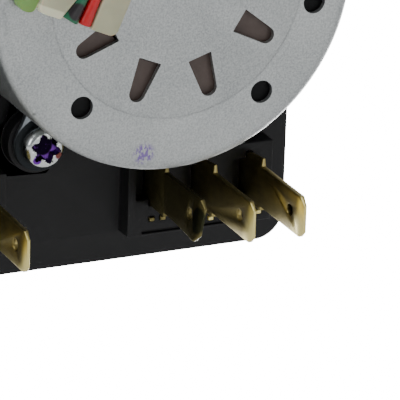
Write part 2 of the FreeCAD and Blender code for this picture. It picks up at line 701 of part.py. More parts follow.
def make_gear_train():
    step = (value("fine_pinion_teeth") + value("fine_wheel_teeth")) * value("fine_module") / 2
    step += value("centre_ease")
    reach = (value("coarse_pinion_teeth") + value("drive_wheel_teeth")) * value("coarse_module") / 2
    reach += value("centre_ease")
    across = value("motor_across")
    up = value("motor_up")
    motor_reach = math.hypot(across, up)
    unit = (across / motor_reach, up / motor_reach)
    middle = (reach + motor_reach) / 2
    rise = math.sqrt(step ** 2 - ((reach - motor_reach) / 2) ** 2)
    motor = (across, up)
    output = (reach * unit[0], reach * unit[1])
    pin_1 = (middle * unit[0] + rise * unit[1], middle * unit[1] - rise * unit[0])
    second = math.radians(value("second_pin_bearing"))
    pin_2 = (pin_1[0] + step * math.cos(second), pin_1[1] + step * math.sin(second))

    # Rotor: a ring magnet on a hub whose pinion reaches through the pole plate
    rotor_low = f"({POLE_INNER} - running_gap - rotor_length)"
    magnet = disc_shape(value("rotor_radius"), value("rotor_length"), 0, value("rotor_core_radius"))
    node("rotor_magnet", feature("magnet_solid", magnet, motor_x(), rotor_low, motor_z()))
    bore = value("gear_pin_radius") + value("bore_clearance")
    hub = disc_shape(value("rotor_core_radius"), value("rotor_length"), 0, bore)
    pinion_low = value("rotor_length")
    pinion_length = value("running_gap") * 2 + value("steel_sheet") + value("gear_face")
    pinion = gear_shape(int(value("fine_pinion_teeth")), value("fine_module"), pinion_length, bore,
                        bearing(motor, pin_1))
    pinion.translate(Vector(0, pinion_low, 0))
    node("rotor_hub", feature("rotor_hub_solid", hub.fuse(pinion).removeSplitter(), motor_x(), rotor_low, motor_z()))
    node("rotor_pin", rod("rotor_pin_rod", "gear_pin_radius", f"({layer(0)} + gear_face - {FACE_INNER})",
                          motor_x(), FACE_INNER, motor_z()))

    # Two idler pins between the pole plate and the base plate
    pin_length = f"({BASE_OUTER} - {POLE_INNER})"
    pin_set = [rod("idler_pin", "gear_pin_radius", pin_length, x, POLE_INNER, z)
               for x, z in ((PIN_1_X, PIN_1_Z), (PIN_2_X, PIN_2_Z))]
    bundle = doc.addObject("Part::Compound", "pin_set")
    bundle.Links = pin_set
    node("idler_pins", bundle)

    compound_gear("idler_gear_1", PIN_1_X, PIN_1_Z, 0, bearing(pin_1, motor), bearing(pin_1, pin_2))
    compound_gear("idler_gear_2", PIN_2_X, PIN_2_Z, 1, bearing(pin_2, pin_1), bearing(pin_2, pin_1))
    compound_gear("idler_gear_3", PIN_1_X, PIN_1_Z, 2, bearing(pin_1, pin_2), bearing(pin_1, output))

    # Output: a wheel on a steel shaft that passes the base plate's bush and ends in a pinion
    wheel = gear_shape(int(value("fine_wheel_teeth")), value("fine_module"), value("gear_face"),
                       value("output_shaft_radius"), bearing(output, pin_1), gap=True)
    node("output_gear", feature("output_wheel", wheel, OUTPUT_X, layer(3), OUTPUT_Z))
    shaft_length = f"({DRIVE_FRONT} + running_gap - {POLE_INNER})"
    node("output_shaft", rod("output_rod", "output_shaft_radius", shaft_length, OUTPUT_X, POLE_INNER, OUTPUT_Z))
    pinion = gear_shape(int(value("coarse_pinion_teeth")), value("coarse_module"), value("output_pinion_face"),
                        value("output_shaft_radius"), bearing(output, (0, 0)))
    node("output_pinion", feature("output_pinion_solid", pinion, OUTPUT_X,
                                  f"({DRIVE_FRONT} + running_gap - output_pinion_face)", OUTPUT_Z))
    bush = rod("output_bush_outer", "output_bush_radius", "output_bush_length", OUTPUT_X, BASE_INNER, OUTPUT_Z)
    bush_bore = rod("output_bush_bore", "output_shaft_radius + bore_clearance", "output_bush_length", OUTPUT_X,
                    BASE_INNER, OUTPUT_Z)
    node("output_bush", cut("output_bush_cut", bush, [bush_bore]))

    # Drive gear: runs free on the cam's hub and turns it through the clutch spring
    wheel = gear_shape(int(value("drive_wheel_teeth")), value("coarse_module"), value("drive_wheel_face"),
                       value("cam_hub_radius") + value("bore_clearance"), bearing((0, 0), output), gap=True)
    count = int(value("wheel_hole_count"))
    for k in range(count):
        angle = 2 * math.pi * k / count
        hole = disc_shape(value("wheel_hole_radius"), value("drive_wheel_face"))
        hole.translate(Vector(math.cos(angle), 0, math.sin(angle)) * value("wheel_hole_circle"))
        wheel = wheel.cut(hole)
    node("drive_gear", feature("drive_wheel", wheel, "0", DRIVE_REAR, "0"))


# One program track: raised stretches on a lower circle, each with a ramp up and a steep drop
def track_shape(raised, face):
    high = value("cam_radius")
    low = high - value("cam_rise")
    ramp = value("cam_ramp_degrees")
    drop = value("cam_drop_degrees")
    edges = []

    def spot(radius, degrees):
        angle = math.radians(degrees)
        return Vector(radius * math.cos(angle), 0, radius * math.sin(angle))

    def arc(radius, start, end):
        return Part.Arc(spot(radius, start), spot(radius, (start + end) / 2), spot(radius, end)).toShape()

    count = len(raised)
    for i in range(count):
        start, end = raised[i]
        following = raised[(i + 1) % count][0] + (360 if i == count - 1 else 0)
        edges.append(arc(high, start, end))
        edges.append(Part.makeLine(spot(high, end), spot(low, end + drop)))
        edges.append(arc(low, end + drop, following - ramp))
        edges.append(Part.makeLine(spot(low, following - ramp), spot(high, following)))
    return Part.Face(Part.Wire(edges)).extrude(Vector(0, face, 0))


# Program cam: three tracks, webs between them, and a hub that carries the drive gear
def make_cam():
    programs = (((20, 150), (190, 250), (285, 330)), ((0, 95), (130, 235)), ((40, 80), (110, 200), (240, 340)))
    face = value("track_face")
    pitch = value("track_pitch")
    front = -value("first_track_depth") + face / 2
    cam_rear = -value("housing_depth") + value("rear_wall") + value("drive_wheel_gap")
    cam_rear += value("drive_wheel_face") + value("clutch_height")
    solid = disc_shape(value("cam_web_radius"), front - cam_rear, cam_rear)
    for index, raised in enumerate(programs):
        ring = track_shape(raised, face)
        ring.translate(Vector(0, -value("first_track_depth") - index * pitch - face / 2, 0))
        solid = solid.fuse(ring)
    hub_low = cam_rear - value("clutch_height") - value("drive_wheel_face") - value("drive_wheel_gap") / 2
    solid = solid.fuse(disc_shape(value("cam_hub_radius"), cam_rear - hub_low, hub_low))
    solid = solid.cut(disc_shape(value("knob_shaft_radius"), 2 * value("housing_depth"), -value("housing_depth")))
    return node("program_cam", feature("cam_solid", solid.removeSplitter(), "0", "-plate_thickness", "0"))


# Clutch spring: a dished washer pressed between the drive gear and the cam
def make_clutch_spring():
    body = doc.addObject("PartDesign::Body", "clutch_washer")
    section = sketch_in(body, "XY_Plane")
    inner = "(cam_hub_radius + 3 * bore_clearance)"
    polygon(section, [(inner, "0"), (inner, "clutch_sheet"), ("clutch_radius", "clutch_height"),
                      ("clutch_radius", "clutch_height - clutch_sheet")])
    turned = body.newObject("PartDesign::Revolution", "turned")
    turned.Profile = section
    turned.ReferenceAxis = (section, ["V_Axis"])
    turned.Angle = 360
    body.Tip = turned
    place(body, "0", DRIVE_FRONT, "0")
    return node("clutch_spring", body)


# Knob shaft: turned steel with a flat for the knob, a ring groove and a rear journal
def make_knob_shaft():
    rear = f"({REAR_FACE} + journal_end_gap)"
    step = f"({INNER_REAR} + drive_wheel_gap / 2)"
    journal = rod("journal", "rear_journal_radius", f"({step} - {rear})", "0", rear, "0")
    tip = "knob_shaft_reach"
    main = rod("main", "knob_shaft_radius", f"({tip} - knob_flat_length - {step})", "0", step, "0")
    knob_end = rod("knob_end", "knob_shaft_radius", "knob_flat_length - knob_chamfer", "0",
                   f"({tip} - knob_flat_length)", "0")
    nose = cone("nose", "knob_shaft_radius", "knob_shaft_radius - knob_chamfer", "knob_chamfer", "0",
                f"({tip} - knob_chamfer)", "0")
    flat = block("flat", "2 * knob_shaft_radius", "knob_flat_length", "knob_shaft_radius",
                 "-knob_shaft_radius", f"({tip} - knob_flat_length)", "knob_flat_distance")
    groove_low = "(front_bush_length - plate_thickness - front_bush_flange_thickness + running_gap)"
    groove = rod("groove", "knob_shaft_radius + 1", "ring_thickness", "0", groove_low, "0")
    core = rod("groove_core", "knob_shaft_radius - ring_groove_depth", "ring_thickness", "0", groove_low, "0")
    cutter = cut("groove_ring", groove, [core])
    blank = fuse("shaft_blank", [journal, cut("main_cut", main, [cutter]), cut("knob_end_cut", knob_end, [flat]),
                                 cut("nose_cut", nose, [flat])])
    blank.Refine = False
    node("knob_shaft", blank)

    ring = rod("ring", "knob_shaft_radius + ring_reach", "ring_thickness", "0", groove_low, "0")
    hole = rod("ring_hole", "knob_shaft_radius - ring_groove_depth", "ring_thickness", "0", groove_low, "0")
    mouth = block("ring_mouth", "2 * (knob_shaft_radius - ring_groove_depth)", "ring_thickness",
                  "knob_shaft_radius + ring_reach + 1", "-(knob_shaft_radius - ring_groove_depth)", groove_low,
                  "-(knob_shaft_radius + ring_reach + 1)")
    node("retaining_ring", cut("ring_cut", ring, [hole, mouth]))

    rear_flange = "(-plate_thickness - front_bush_flange_thickness)"
    barrel = rod("bush_barrel", "front_bush_radius", "front_bush_length - front_bush_flange_thickness", "0",
                 "-plate_thickness", "0")
    flange = rod("bush_flange", "front_bush_flange", "front_bush_flange_thickness", "0", rear_flange, "0")
    bore = rod("bush_bore", "knob_shaft_radius + bore_clearance", "front_bush_length", "0", rear_flange, "0")
    node("front_bush", cut("bush_cut", fuse("bush_blank", [barrel, flange]), [bore]))


# A terminal is one brass stamping: a quick-connect tab outside, a body through the wall,
# and a foot folded over to carry a blade. The right row carries springs, the left row is fixed.
def make_terminal(label, x, side, index):
    body = doc.addObject("PartDesign::Body", label + "_body")
    shape = sketch_in(body, "YZ_Plane", x)
    half = "tab_width / 2"
    root = "root_width / 2"
    middle = "-terminal_drop"
    fold = "-follower_blade_drop - spring_thickness" if side > 0 else "-fixed_blade_drop"
    inner = f"({track(index)} + blade_width / 2)"
    foot = f"({track(index)} - blade_width / 2)"
    polygon(shape, [(TAB_TIP, f"{middle} - {half} + tab_chamfer"),
                    (f"{TAB_TIP} + tab_chamfer", f"{middle} - {half}"),
                    (TAB_ROOT, f"{middle} - {half}"), (TAB_ROOT, f"{middle} - {root}"),
                    (inner, f"{middle} - {root}"), (inner, fold), (foot, fold),
                    (foot, f"{middle} + {root}"),
                    (TAB_ROOT, f"{middle} + {root}"), (TAB_ROOT, f"{middle} + {half}"),
                    (f"{TAB_TIP} + tab_chamfer", f"{middle} + {half}"),
                    (TAB_TIP, f"{middle} + {half} - tab_chamfer")])
    pad(body, shape, "terminal_thickness", middle=True)
    hole = sketch_in(body, "YZ_Plane", f"({x} + terminal_thickness)")
    circle(hole, "tab_hole_radius", f"{TAB_TIP} + tab_hole_from_tip", middle)
    body.Tip = pocket(body, hole, "2 * terminal_thickness")
    if side > 0:
        # The spring blade is riveted under this short foot's far side
        foot_piece = block("foot", "spring_seat", "blade_width", "terminal_thickness",
                           f"({x} + terminal_thickness / 2 - spring_seat)", foot,
                           f"({fold} - terminal_thickness)")
    else:
        foot_piece = block("foot", f"(-contact_across + contact_radius + contact_margin - {x} + terminal_thickness / 2)",
                           "blade_width", "terminal_thickness", f"({x} - terminal_thickness / 2)", foot,
                           f"({fold} - terminal_thickness)")
    stakes = [block("stake", "stake_width", f"({INNER_REAR} + stake_gap - {PLATFORM_FACE} + stake_proud)",
                    "terminal_thickness", f"({x} + {shift})", f"({PLATFORM_FACE} - stake_proud)",
                    "(-stake_drop - terminal_thickness / 2)")
              for shift in ("-stake_width / 2", "-stake_width / 2 + stake_gap")]
    bridge = block("stake_bridge", "stake_gap + stake_width", "stake_gap", "terminal_thickness",
                   f"({x} - stake_width / 2)", INNER_REAR, "(-stake_drop - terminal_thickness / 2)")
    link = block("stake_link", "terminal_thickness", "stake_gap",
                 f"(stake_drop + terminal_thickness / 2 - terminal_drop - root_width / 2)",
                 f"({x} - terminal_thickness / 2)", INNER_REAR, "(-stake_drop - terminal_thickness / 2)")
    return node(label, fuse(label + "_stamping", [body, foot_piece, bridge, link] + stakes))


def make_switches():
    moving = []
    fixed = []
    for index in range(3):
        right = RIGHT[index]
        left = LEFT[2 - index]
        make_terminal("terminal_%d" % (index + 1), right, 1, index)
        make_terminal("terminal_%d" % (6 - index), left, -1, index)
        low = f"({track(index)} - blade_width / 2)"
        top = "-follower_blade_drop"
        # Spring blade: a strip with a rounded follower pressed up under the cam
        strip = block("strip", f"({right} - terminal_thickness / 2 + contact_across + contact_radius + contact_margin)",
                      "blade_width", "spring_thickness", "(-contact_across - contact_radius - contact_margin)", low,
                      f"({top} - spring_thickness)")
        bump_top = "(-cam_radius - follower_gap)"
        bump = rod("bump", "follower_radius", "blade_width", "0", low, f"({bump_top} - follower_radius)")
        web = block("bump_web", "2 * follower_radius", "blade_width",
                    f"({bump_top} - follower_radius - {top})", "-follower_radius", low, top)
        node("spring_blade_%d" % (index + 1), fuse("blade_%d" % (index + 1), [strip, bump, web]))
        underside = f"({top} - spring_thickness)"
        button = doc.addObject("Part::Cylinder", "moving_button")
        bind(button, Radius="contact_radius", Height="contact_thickness")
        moving.append(place(button, "-contact_across", track(index), f"({underside} - contact_thickness)"))
        button = doc.addObject("Part::Cylinder", "fixed_button")
        bind(button, Radius="contact_radius",
             Height=f"fixed_blade_drop - follower_blade_drop - spring_thickness - contact_thickness - contact_gap")
        fixed.append(place(button, "-contact_across", track(index), "-fixed_blade_drop"))
    for label, buttons in (("moving_contacts", moving), ("fixed_contacts", fixed)):
        bundle = doc.addObject("Part::Compound", label + "_set")
        bundle.Links = buttons
        node(label, bundle)


# Lead connector: a moulded clip on the motor face with a channel for each lead
def make_connector():
    across = value("connector_width")
    along = value("connector_length")
    height = value("connector_height")
    clip = Part.makeBox(along, height, across, Vector(0, -height, -across / 2))
    corners = [edge for edge in clip.Edges if edge.BoundBox.YLength > 0.5]
    clip = clip.makeFillet(value("connector_round"), corners)
    middle = -value("lead_stand_off") + value("lead_sink")
    for offset, radius in ((value("red_lead_offset"), value("red_lead_radius")),
                           (-value("green_lead_offset"), value("green_lead_radius"))):
        groove = Part.makeCylinder(radius, along, Vector(value("connector_round"), middle, -offset), Vector(1, 0, 0))
        mouth = Part.makeBox(along, height, 2 * radius, Vector(value("connector_round"), middle - height, -offset - radius))
        clip = clip.cut(groove.fuse(mouth))
    turn = Rotation(Vector(0, 1, 0), -value("connector_turn"))
    return node("lead_connector", feature("connector_solid", clip, motor_x("-connector_across"), MOTOR_FACE,
                                          motor_z("-connector_down"), turn))


# A lead: straight up the motor face, one bend over the rim, then straight back into the housing
def make_lead(label, offset_name, sign, radius_name):
    radius = value(radius_name)
    offset = sign * value(offset_name)
    turn = math.radians(value("connector_turn"))
    start = (-value("connector_across") + offset * math.sin(turn), -value("connector_down") - offset * math.cos(turn))
    along = start[0] * math.cos(turn) + start[1] * math.sin(turn)
    square = start[0] ** 2 + start[1] ** 2
    reach = -along + math.sqrt(along ** 2 - square + value("motor_radius") ** 2) + value("lead_stand_off")
    level = -value("lead_stand_off") + value("lead_sink")
    bend = value("lead_bend")
    depth = value("motor_can_height") + value("base_plate_thickness") + value("ear_boss_height")
    depth += value("rear_wall") + value("lead_tail")
    first = Vector(value("connector_round") + radius, level, -offset)
    second = Vector(reach - bend, level, -offset)
    third = Vector(reach, level + bend, -offset)
    last = Vector(reach, depth, -offset)
    knee = Vector(reach - bend + bend * math.sin(math.pi / 4), level + bend - bend * math.cos(math.pi / 4), -offset)
    path = Part.Wire([Part.LineSegment(first, second).toShape(), Part.Arc(second, knee, third).toShape(),
                      Part.LineSegment(third, last).toShape()])
    profile = Part.Wire(Part.makeCircle(radius, first, Vector(1, 0, 0)))
    tube = path.makePipeShell([profile], True, False)
    cap = Part.makeSphere(radius, first)
    rotation = Rotation(Vector(0, 1, 0), -value("connector_turn"))
    print(label, "length", round(path.Length, 2), "volume ratio",
          round(tube.Volume / (math.pi * radius ** 2 * path.Length), 4))
    solid = tube.fuse(cap).removeSplitter()
    return node(label, feature(label + "_tube", solid, motor_x("-connector_across"), MOTOR_FACE,
                               motor_z("-connector_down"), rotation))


def make_grommets():
    rings = []
    for (x, z), radius in lead_places():
        barrel = rod("grommet_barrel", radius + " + grommet_wall", "rear_wall", x, REAR_FACE, z)
        lip = rod("grommet_lip", radius + " + grommet_wall + grommet_lip", "grommet_lip", x,
                  f"({REAR_FACE} - grommet_lip)", z)
        bore = rod("grommet_bore", radius, "rear_wall + grommet_lip", x, f"({REAR_FACE} - grommet_lip)", z)
        rings.append(cut("grommet", fuse("grommet_blank", [barrel, lip]), [bore]))
    bundle = doc.addObject("Part::Compound", "grommet_set")
    bundle.Links = rings
    return node("lead_grommets", bundle)


make_housing()
make_plate()
make_plate_screws()
make_motor_can()
make_pole_plate()
make_base_plate()
make_motor_screws()
make_coil()
make_gear_train()
make_cam()
make_clutch_spring()
make_knob_shaft()
make_switches()
make_connector()
make_lead("red_lead", "red_lead_offset", 1, "red_lead_radius")
make_lead("green_lead", "green_lead_offset", -1, "green_lead_radius")
make_grommets()
doc.recompute()

bad = [thing.Name for thing in doc.Objects if {"Invalid", "Error"} & set(thing.State)]
bad += [thing.Label for thing in nodes if thing.Shape.isNull() or not thing.Shape.isValid()]
if bad:
    raise RuntimeError("failed: " + ", ".join(sorted(set(bad))))

os.makedirs("parts", exist_ok=True)
for thing in nodes:
    thing.Shape.exportStep("parts/%s.step" % thing.Label)
    box = thing.Shape.BoundBox
    print("%-18s solids %d  volume %9.2f  x %7.2f %7.2f  y %7.2f %7.2f  z %7.2f %7.2f" % (
        thing.Label, len(thing.Shape.Solids), thing.Shape.Volume,
        box.XMin, box.XMax, box.YMin, box.YMax, box.ZMin, box.ZMax))
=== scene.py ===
import math
import bmesh
import bpy
from mathutils import Matrix, Vector


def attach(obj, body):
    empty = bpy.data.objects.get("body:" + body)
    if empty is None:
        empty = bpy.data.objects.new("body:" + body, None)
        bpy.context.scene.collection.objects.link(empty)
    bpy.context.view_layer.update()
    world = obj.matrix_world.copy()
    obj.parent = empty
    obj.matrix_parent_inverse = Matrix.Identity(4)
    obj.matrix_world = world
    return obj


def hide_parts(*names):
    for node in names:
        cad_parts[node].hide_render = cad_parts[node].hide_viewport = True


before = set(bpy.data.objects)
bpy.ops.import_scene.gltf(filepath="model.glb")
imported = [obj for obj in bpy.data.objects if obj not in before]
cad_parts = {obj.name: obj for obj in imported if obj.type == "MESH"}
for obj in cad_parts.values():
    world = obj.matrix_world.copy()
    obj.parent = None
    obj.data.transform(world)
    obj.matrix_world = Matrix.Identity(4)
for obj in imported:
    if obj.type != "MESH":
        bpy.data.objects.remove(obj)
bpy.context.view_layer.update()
MM = 0.001

# Camera: a long lens, above and to the left of the motor side, close in on the lower half.
# It leans a little, as the picture does.
AZIMUTH = math.radians(-25.37)
ELEVATION = math.radians(21.01)
LEAN = math.radians(1.98)
AIM = Vector((23.96, -34.2, -34.25)) * MM
STAND_OFF = 600 * MM
back = Vector((math.sin(AZIMUTH) * math.cos(ELEVATION), -math.cos(AZIMUTH) * math.cos(ELEVATION),
               math.sin(ELEVATION)))
level = Vector((math.cos(AZIMUTH), math.sin(AZIMUTH), 0))
right = level * math.cos(LEAN) + back.cross(level) * math.sin(LEAN)
camera = bpy.data.objects.new("camera", bpy.data.cameras.new("camera"))
camera.data.lens = 356.9
camera.data.sensor_width = 36
camera.data.clip_start = 0.01
camera.matrix_world = Matrix.Translation(AIM + back * STAND_OFF) @ Matrix(
    (right, back.cross(right), back)).transposed().to_4x4()
bpy.context.scene.collection.objects.link(camera)
bpy.context.scene.camera = camera


# Studio: a pale sweep well below the part, which its panel holds, and large soft lights. The sweep
# glows behind the part, for a white background, and the motor's face mirrors the low front light.
class Reading:
    """A socket of a node tree, so that sums of sockets are written as plain arithmetic."""

    def __init__(self, tree, socket):
        self.tree = tree
        self.socket = socket

    def step(self, operation, *parts):
        node = self.tree.nodes.new("ShaderNodeMath")
        node.operation = operation
        for place, part in zip(node.inputs, parts):
            feed(self.tree, place, part)
        return Reading(self.tree, node.outputs[0])

    def __add__(self, other):
        return self.step("ADD", self, other)

    def __radd__(self, other):
        return self.step("ADD", other, self)

    def __sub__(self, other):
        return self.step("SUBTRACT", self, other)

    def __rsub__(self, other):
        return self.step("SUBTRACT", other, self)

    def __mul__(self, other):
        return self.step("MULTIPLY", self, other)

    def __truediv__(self, other):
        return self.step("DIVIDE", self, other)

    def __pow__(self, other):
        return self.step("POWER", self, other)

    def __neg__(self):
        return self.step("MULTIPLY", self, -1.0)

    def __abs__(self):
        return self.step("ABSOLUTE", self)

    def wave(self):
        return self.step("SINE", self)

    def larger(self, other):
        return self.step("MAXIMUM", self, other)

    def between(self, low, high):
        """0 below low, 1 above high, and a smooth rise between; the other way round if low is larger."""
        node = self.tree.nodes.new("ShaderNodeMapRange")
        node.interpolation_type = "SMOOTHSTEP"
        feed(self.tree, node.inputs["Value"], self)
        node.inputs["From Min"].default_value = low
        node.inputs["From Max"].default_value = high
        return Reading(self.tree, node.outputs[0])


def feed(tree, place, part):
    if isinstance(part, Reading):
        tree.links.new(part.socket, place)
    else:
        place.default_value = part


def chart(red, green, blue):
    """A colour as read from a chart, 0 to 255, as the linear values that a shader takes."""
    return tuple(((c / 255 + 0.055) / 1.055) ** 2.4 if c > 10 else c / 255 / 12.92
                 for c in (red, green, blue)) + (1.0,)


class Finish:
    """A material: fixed amounts go straight on the shader, and varying ones are read on the piece."""

    def __init__(self, name, **fixed):
        self.material = bpy.data.materials.new(name)
        self.material.use_nodes = True
        self.tree = self.material.node_tree
        self.shader = self.tree.nodes["Principled BSDF"]
        for socket, amount in fixed.items():
            self.shader.inputs[socket.replace("_", " ")].default_value = amount
        self.spot = self.node("ShaderNodeTexCoord", {}, {}, "Object")

    def node(self, kind, settings, inputs, output=0):
        made = self.tree.nodes.new(kind)
        for key, setting in settings.items():
            setattr(made, key, setting)
        for key, part in inputs.items():
            feed(self.tree, made.inputs[key], part)
        return Reading(self.tree, made.outputs[output])

    def axes(self, spot=None):
        made = self.tree.nodes.new("ShaderNodeSeparateXYZ")
        feed(self.tree, made.inputs[0], spot or self.spot)
        return [Reading(self.tree, socket) for socket in made.outputs]

    def stretched(self, x, y, z):
        return self.node("ShaderNodeVectorMath", {"operation": "MULTIPLY"}, {0: self.spot, 1: (x, y, z)})

    def noise(self, size, detail=3.0, spot=None, rough=0.5):
        return self.node("ShaderNodeTexNoise", {}, {"Vector": spot or self.spot, "Scale": 1 / (size * MM),
                                                    "Detail": detail, "Roughness": rough})

    def cells(self, size, output="Distance", spot=None):
        return self.node("ShaderNodeTexVoronoi", {}, {"Vector": spot or self.spot, "Scale": 1 / (size * MM)},
                         output)

    def tint(self, amount, first, second):
        return self.node("ShaderNodeMix", {"data_type": "RGBA"}, {0: amount, 6: first, 7: second}, 2)

    def reach(self, x, z):
        """Distance in millimetres from an axis that runs along Y."""
        across, _, up = self.axes()
        return (((across - x * MM) ** 2.0 + (up - z * MM) ** 2.0) ** 0.5) * 1000.0

    def lay(self, colour=None, roughness=None, metallic=None, height=None, depth=0.02, strength=1.0):
        for socket, part in (("Base Color", colour), ("Roughness", roughness), ("Metallic", metallic)):
            if part is not None:
                feed(self.tree, self.shader.inputs[socket], part)
        if height is not None:
            bump = self.node("ShaderNodeBump", {}, {"Strength": strength, "Distance": depth * MM,
                                                    "Height": height})
            feed(self.tree, self.shader.inputs["Normal"], bump)
        return self.material


paper = Finish("studio_paper", Roughness=0.9, Emission_Strength=16.0)
_, depth_in, _ = paper.axes()
lit_patch = ((paper.reach(130, -120) * 0.001) ** 2.0 + (depth_in - 0.18) ** 2.0) ** 0.5
feed(paper.tree, paper.shader.inputs["Emission Color"], paper.tint(
    lit_patch.between(0.19, 0.13), (0.012, 0.012, 0.012, 1.0), (1.0, 1.0, 1.0, 1.0)))
paper_finish = paper.lay(paper.tint(paper.noise(40), (0.9, 0.9, 0.9, 1.0), (0.93, 0.93, 0.93, 1.0)))
FLOOR = -120 * MM
sweep_lines = [(-2.5, FLOOR), (0.9, FLOOR), (1.15, FLOOR + 0.05), (1.3, FLOOR + 0.25), (1.35, FLOOR + 2.2)]
sweep = bpy.data.meshes.new("studio_sweep")
sweep.from_pydata([(side * 3.0, y, z) for y, z in sweep_lines for side in (-1, 1)], [],
                  [(2 * i, 2 * i + 1, 2 * i + 3, 2 * i + 2) for i in range(len(sweep_lines) - 1)])
sweep.shade_smooth()
sweep.materials.append(paper_finish)
floor = bpy.data.objects.new("studio_sweep", sweep)
bpy.context.scene.collection.objects.link(floor)
world = bpy.data.worlds.new("studio_air")
world.use_nodes = True
world.node_tree.nodes["Background"].inputs["Color"].default_value = (0.95, 0.97, 1.0, 1.0)
world.node_tree.nodes["Background"].inputs["Strength"].default_value = 0.38
bpy.context.scene.world = world
for name, place, width, power in (("soft_top", (-0.25, -0.35, 0.9), 0.7, 5.0),
                                  ("soft_left", (-0.95, -0.45, 0.35), 0.5, 2.6),
                                  ("low_front", (0.35, -0.9, -0.05), 0.5, 1.75)):
    lamp = bpy.data.objects.new(name, bpy.data.lights.new(name, "AREA"))
    lamp.data.size = width
    lamp.data.energy = power
    lamp.location = place
    lamp.rotation_euler = (Vector(place) - Vector((0, -0.03, 0))).to_track_quat("Z", "Y").to_euler()
    bpy.context.scene.collection.objects.link(lamp)


# Housing: one black thermoplastic moulding that holds the switches and carries the motor.
# Its skin has a fine satin grain, and its edges are slightly soft from the mould.
def bake(piece, smooth_below=32):
    """Turns a piece's modifiers into plain mesh, sharp only where it folds."""
    mesh = bpy.data.meshes.new_from_object(piece.evaluated_get(bpy.context.evaluated_depsgraph_get()))
    piece.modifiers.clear()
    mesh.shade_smooth()
    mesh.set_sharp_from_angle(angle=math.radians(smooth_below))
    piece.data = mesh
    return piece


def eased(piece, edge, limit=38, segments=2):
    """Eases a piece's folded edges by edge millimetres."""
    if edge:
        soft = piece.modifiers.new("eased_edges", "BEVEL")
        soft.width = edge * MM
        soft.segments = segments
        soft.limit_method = "ANGLE"
        soft.angle_limit = math.radians(limit)
        soft.use_clamp_overlap = False
        soft.miter_outer = "MITER_ARC"
    even = piece.modifiers.new("even_flats", "WEIGHTED_NORMAL")
    even.keep_sharp = True
    return piece


def new_piece(name, mesh, finish):
    piece = bpy.data.objects.new(name, mesh)
    bpy.context.scene.collection.objects.link(piece)
    mesh.materials.clear()
    mesh.materials.append(finish)
    return piece


def seated(piece, body, slot, *nodes):
    """Rides the piece on its body in place of the solids that it stands for."""
    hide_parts(*nodes)
    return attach(piece, body)


def clean_mesh(node, planes=()):
    """A merged copy of a solid's mesh, its flats in whole faces, cut across at the given Y places."""
    work = bmesh.new()
    work.from_mesh(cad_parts[node].data)
    bmesh.ops.remove_doubles(work, verts=work.verts, dist=0.002 * MM)
    bmesh.ops.dissolve_limit(work, angle_limit=math.radians(0.5), verts=work.verts, edges=work.edges)
    for y in planes:
        bmesh.ops.bisect_plane(work, geom=work.verts[:] + work.edges[:] + work.faces[:], dist=1e-6,
                               plane_co=(0, y * MM, 0), plane_no=(0, 1, 0))
    mesh = bpy.data.meshes.new(node + "_clean")
    work.to_mesh(mesh)
    work.free()
    if "custom_normal" in mesh.attributes:
        mesh.attributes.remove(mesh.attributes["custom_normal"])
    return mesh


def finished(node, name, finish, edge=0.12, limit=38):
    piece = new_piece(name, clean_mesh(node), finish)
    if edge:
        eased(piece, edge, limit)
    return bake(piece)


def prism(name, outline, low, high):
    """A solid with an (x, z) outline, from one depth to another."""
    count = len(outline)
    work = bmesh.new()
    ends = [[work.verts.new((x * MM, y * MM, z * MM)) for x, z in outline] for y in (low, high)]
    work.faces.new(ends[0])
    work.faces.new(ends[1][::-1])
    for i in range(count):
        work.faces.new((ends[0][i], ends[1][i], ends[1][(i + 1) % count], ends[0][(i + 1) % count]))
    bmesh.ops.recalc_face_normals(work, faces=work.faces)
    mesh = bpy.data.meshes.new(name)
    work.to_mesh(mesh)
    work.free()
    return mesh


def loose(name, mesh):
    tool = bpy.data.objects.new(name, mesh)
    bpy.context.scene.collection.objects.link(tool)
    return tool


def carve(piece, *tools):
    for tool in tools:
        cut = piece.modifiers.new("cut_" + tool.name, "BOOLEAN")
        cut.operation = "DIFFERENCE"
        cut.solver = "EXACT"
        cut.object = tool
    return piece


def put_away(*tools):
    for tool in tools:
        bpy.data.objects.remove(tool)


moulding = Finish("black_moulding", IOR=1.48, Specular_IOR_Level=0.3)
grain = moulding.noise(0.16, 2.0)
cloud = moulding.noise(7.0, 4.0)
scuff = moulding.noise(1.1, 6.0, moulding.stretched(1.0, 1.0, 0.25), 0.7).between(0.62, 0.78)
black_finish = moulding.lay(
    moulding.tint(cloud * 0.5 + scuff * 0.35, chart(7, 7, 8), chart(17, 17, 19)),
    0.44 + cloud * 0.16 - scuff * 0.1, height=grain + cloud * 2.0, depth=0.02, strength=0.6)
REAR_FACE = -34.2
PLATFORM_FACE = -37.6
MOTOR_X, MOTOR_Z = 9.0, 8.0
EAR_REACH = 31.37
EAR_BEARING = math.radians(246)
EAR_PLACES = tuple((MOTOR_X + side * EAR_REACH * math.cos(EAR_BEARING),
                    MOTOR_Z + side * EAR_REACH * math.sin(EAR_BEARING)) for side in (1, -1))
EAR_X, EAR_Z = EAR_PLACES[0]
BOSS_RADIUS = 4.9
RECESS_DEPTH = 1.0
recess_line = [(-6.4, -9), (-9.2, -9), (-9.2, -23.4), (-8.4, -25.1), (-6.6, -26.3), (-1.6, -26.5), (-1.2, -26.3),
               (-1.1, -25.9)]
recess_line += [(EAR_X + BOSS_RADIUS * math.cos(a), EAR_Z + BOSS_RADIUS * math.sin(a))
                for a in (math.radians(bearing) for bearing in range(-68, -241, -12))]
recess = loose("boss_recess", prism("boss_recess", recess_line, REAR_FACE - 0.05,
                                     REAR_FACE + RECESS_DEPTH))
SEAM_LOW, SEAM_HIGH, SEAM_DEPTH = -37.05, -36.6, 0.5
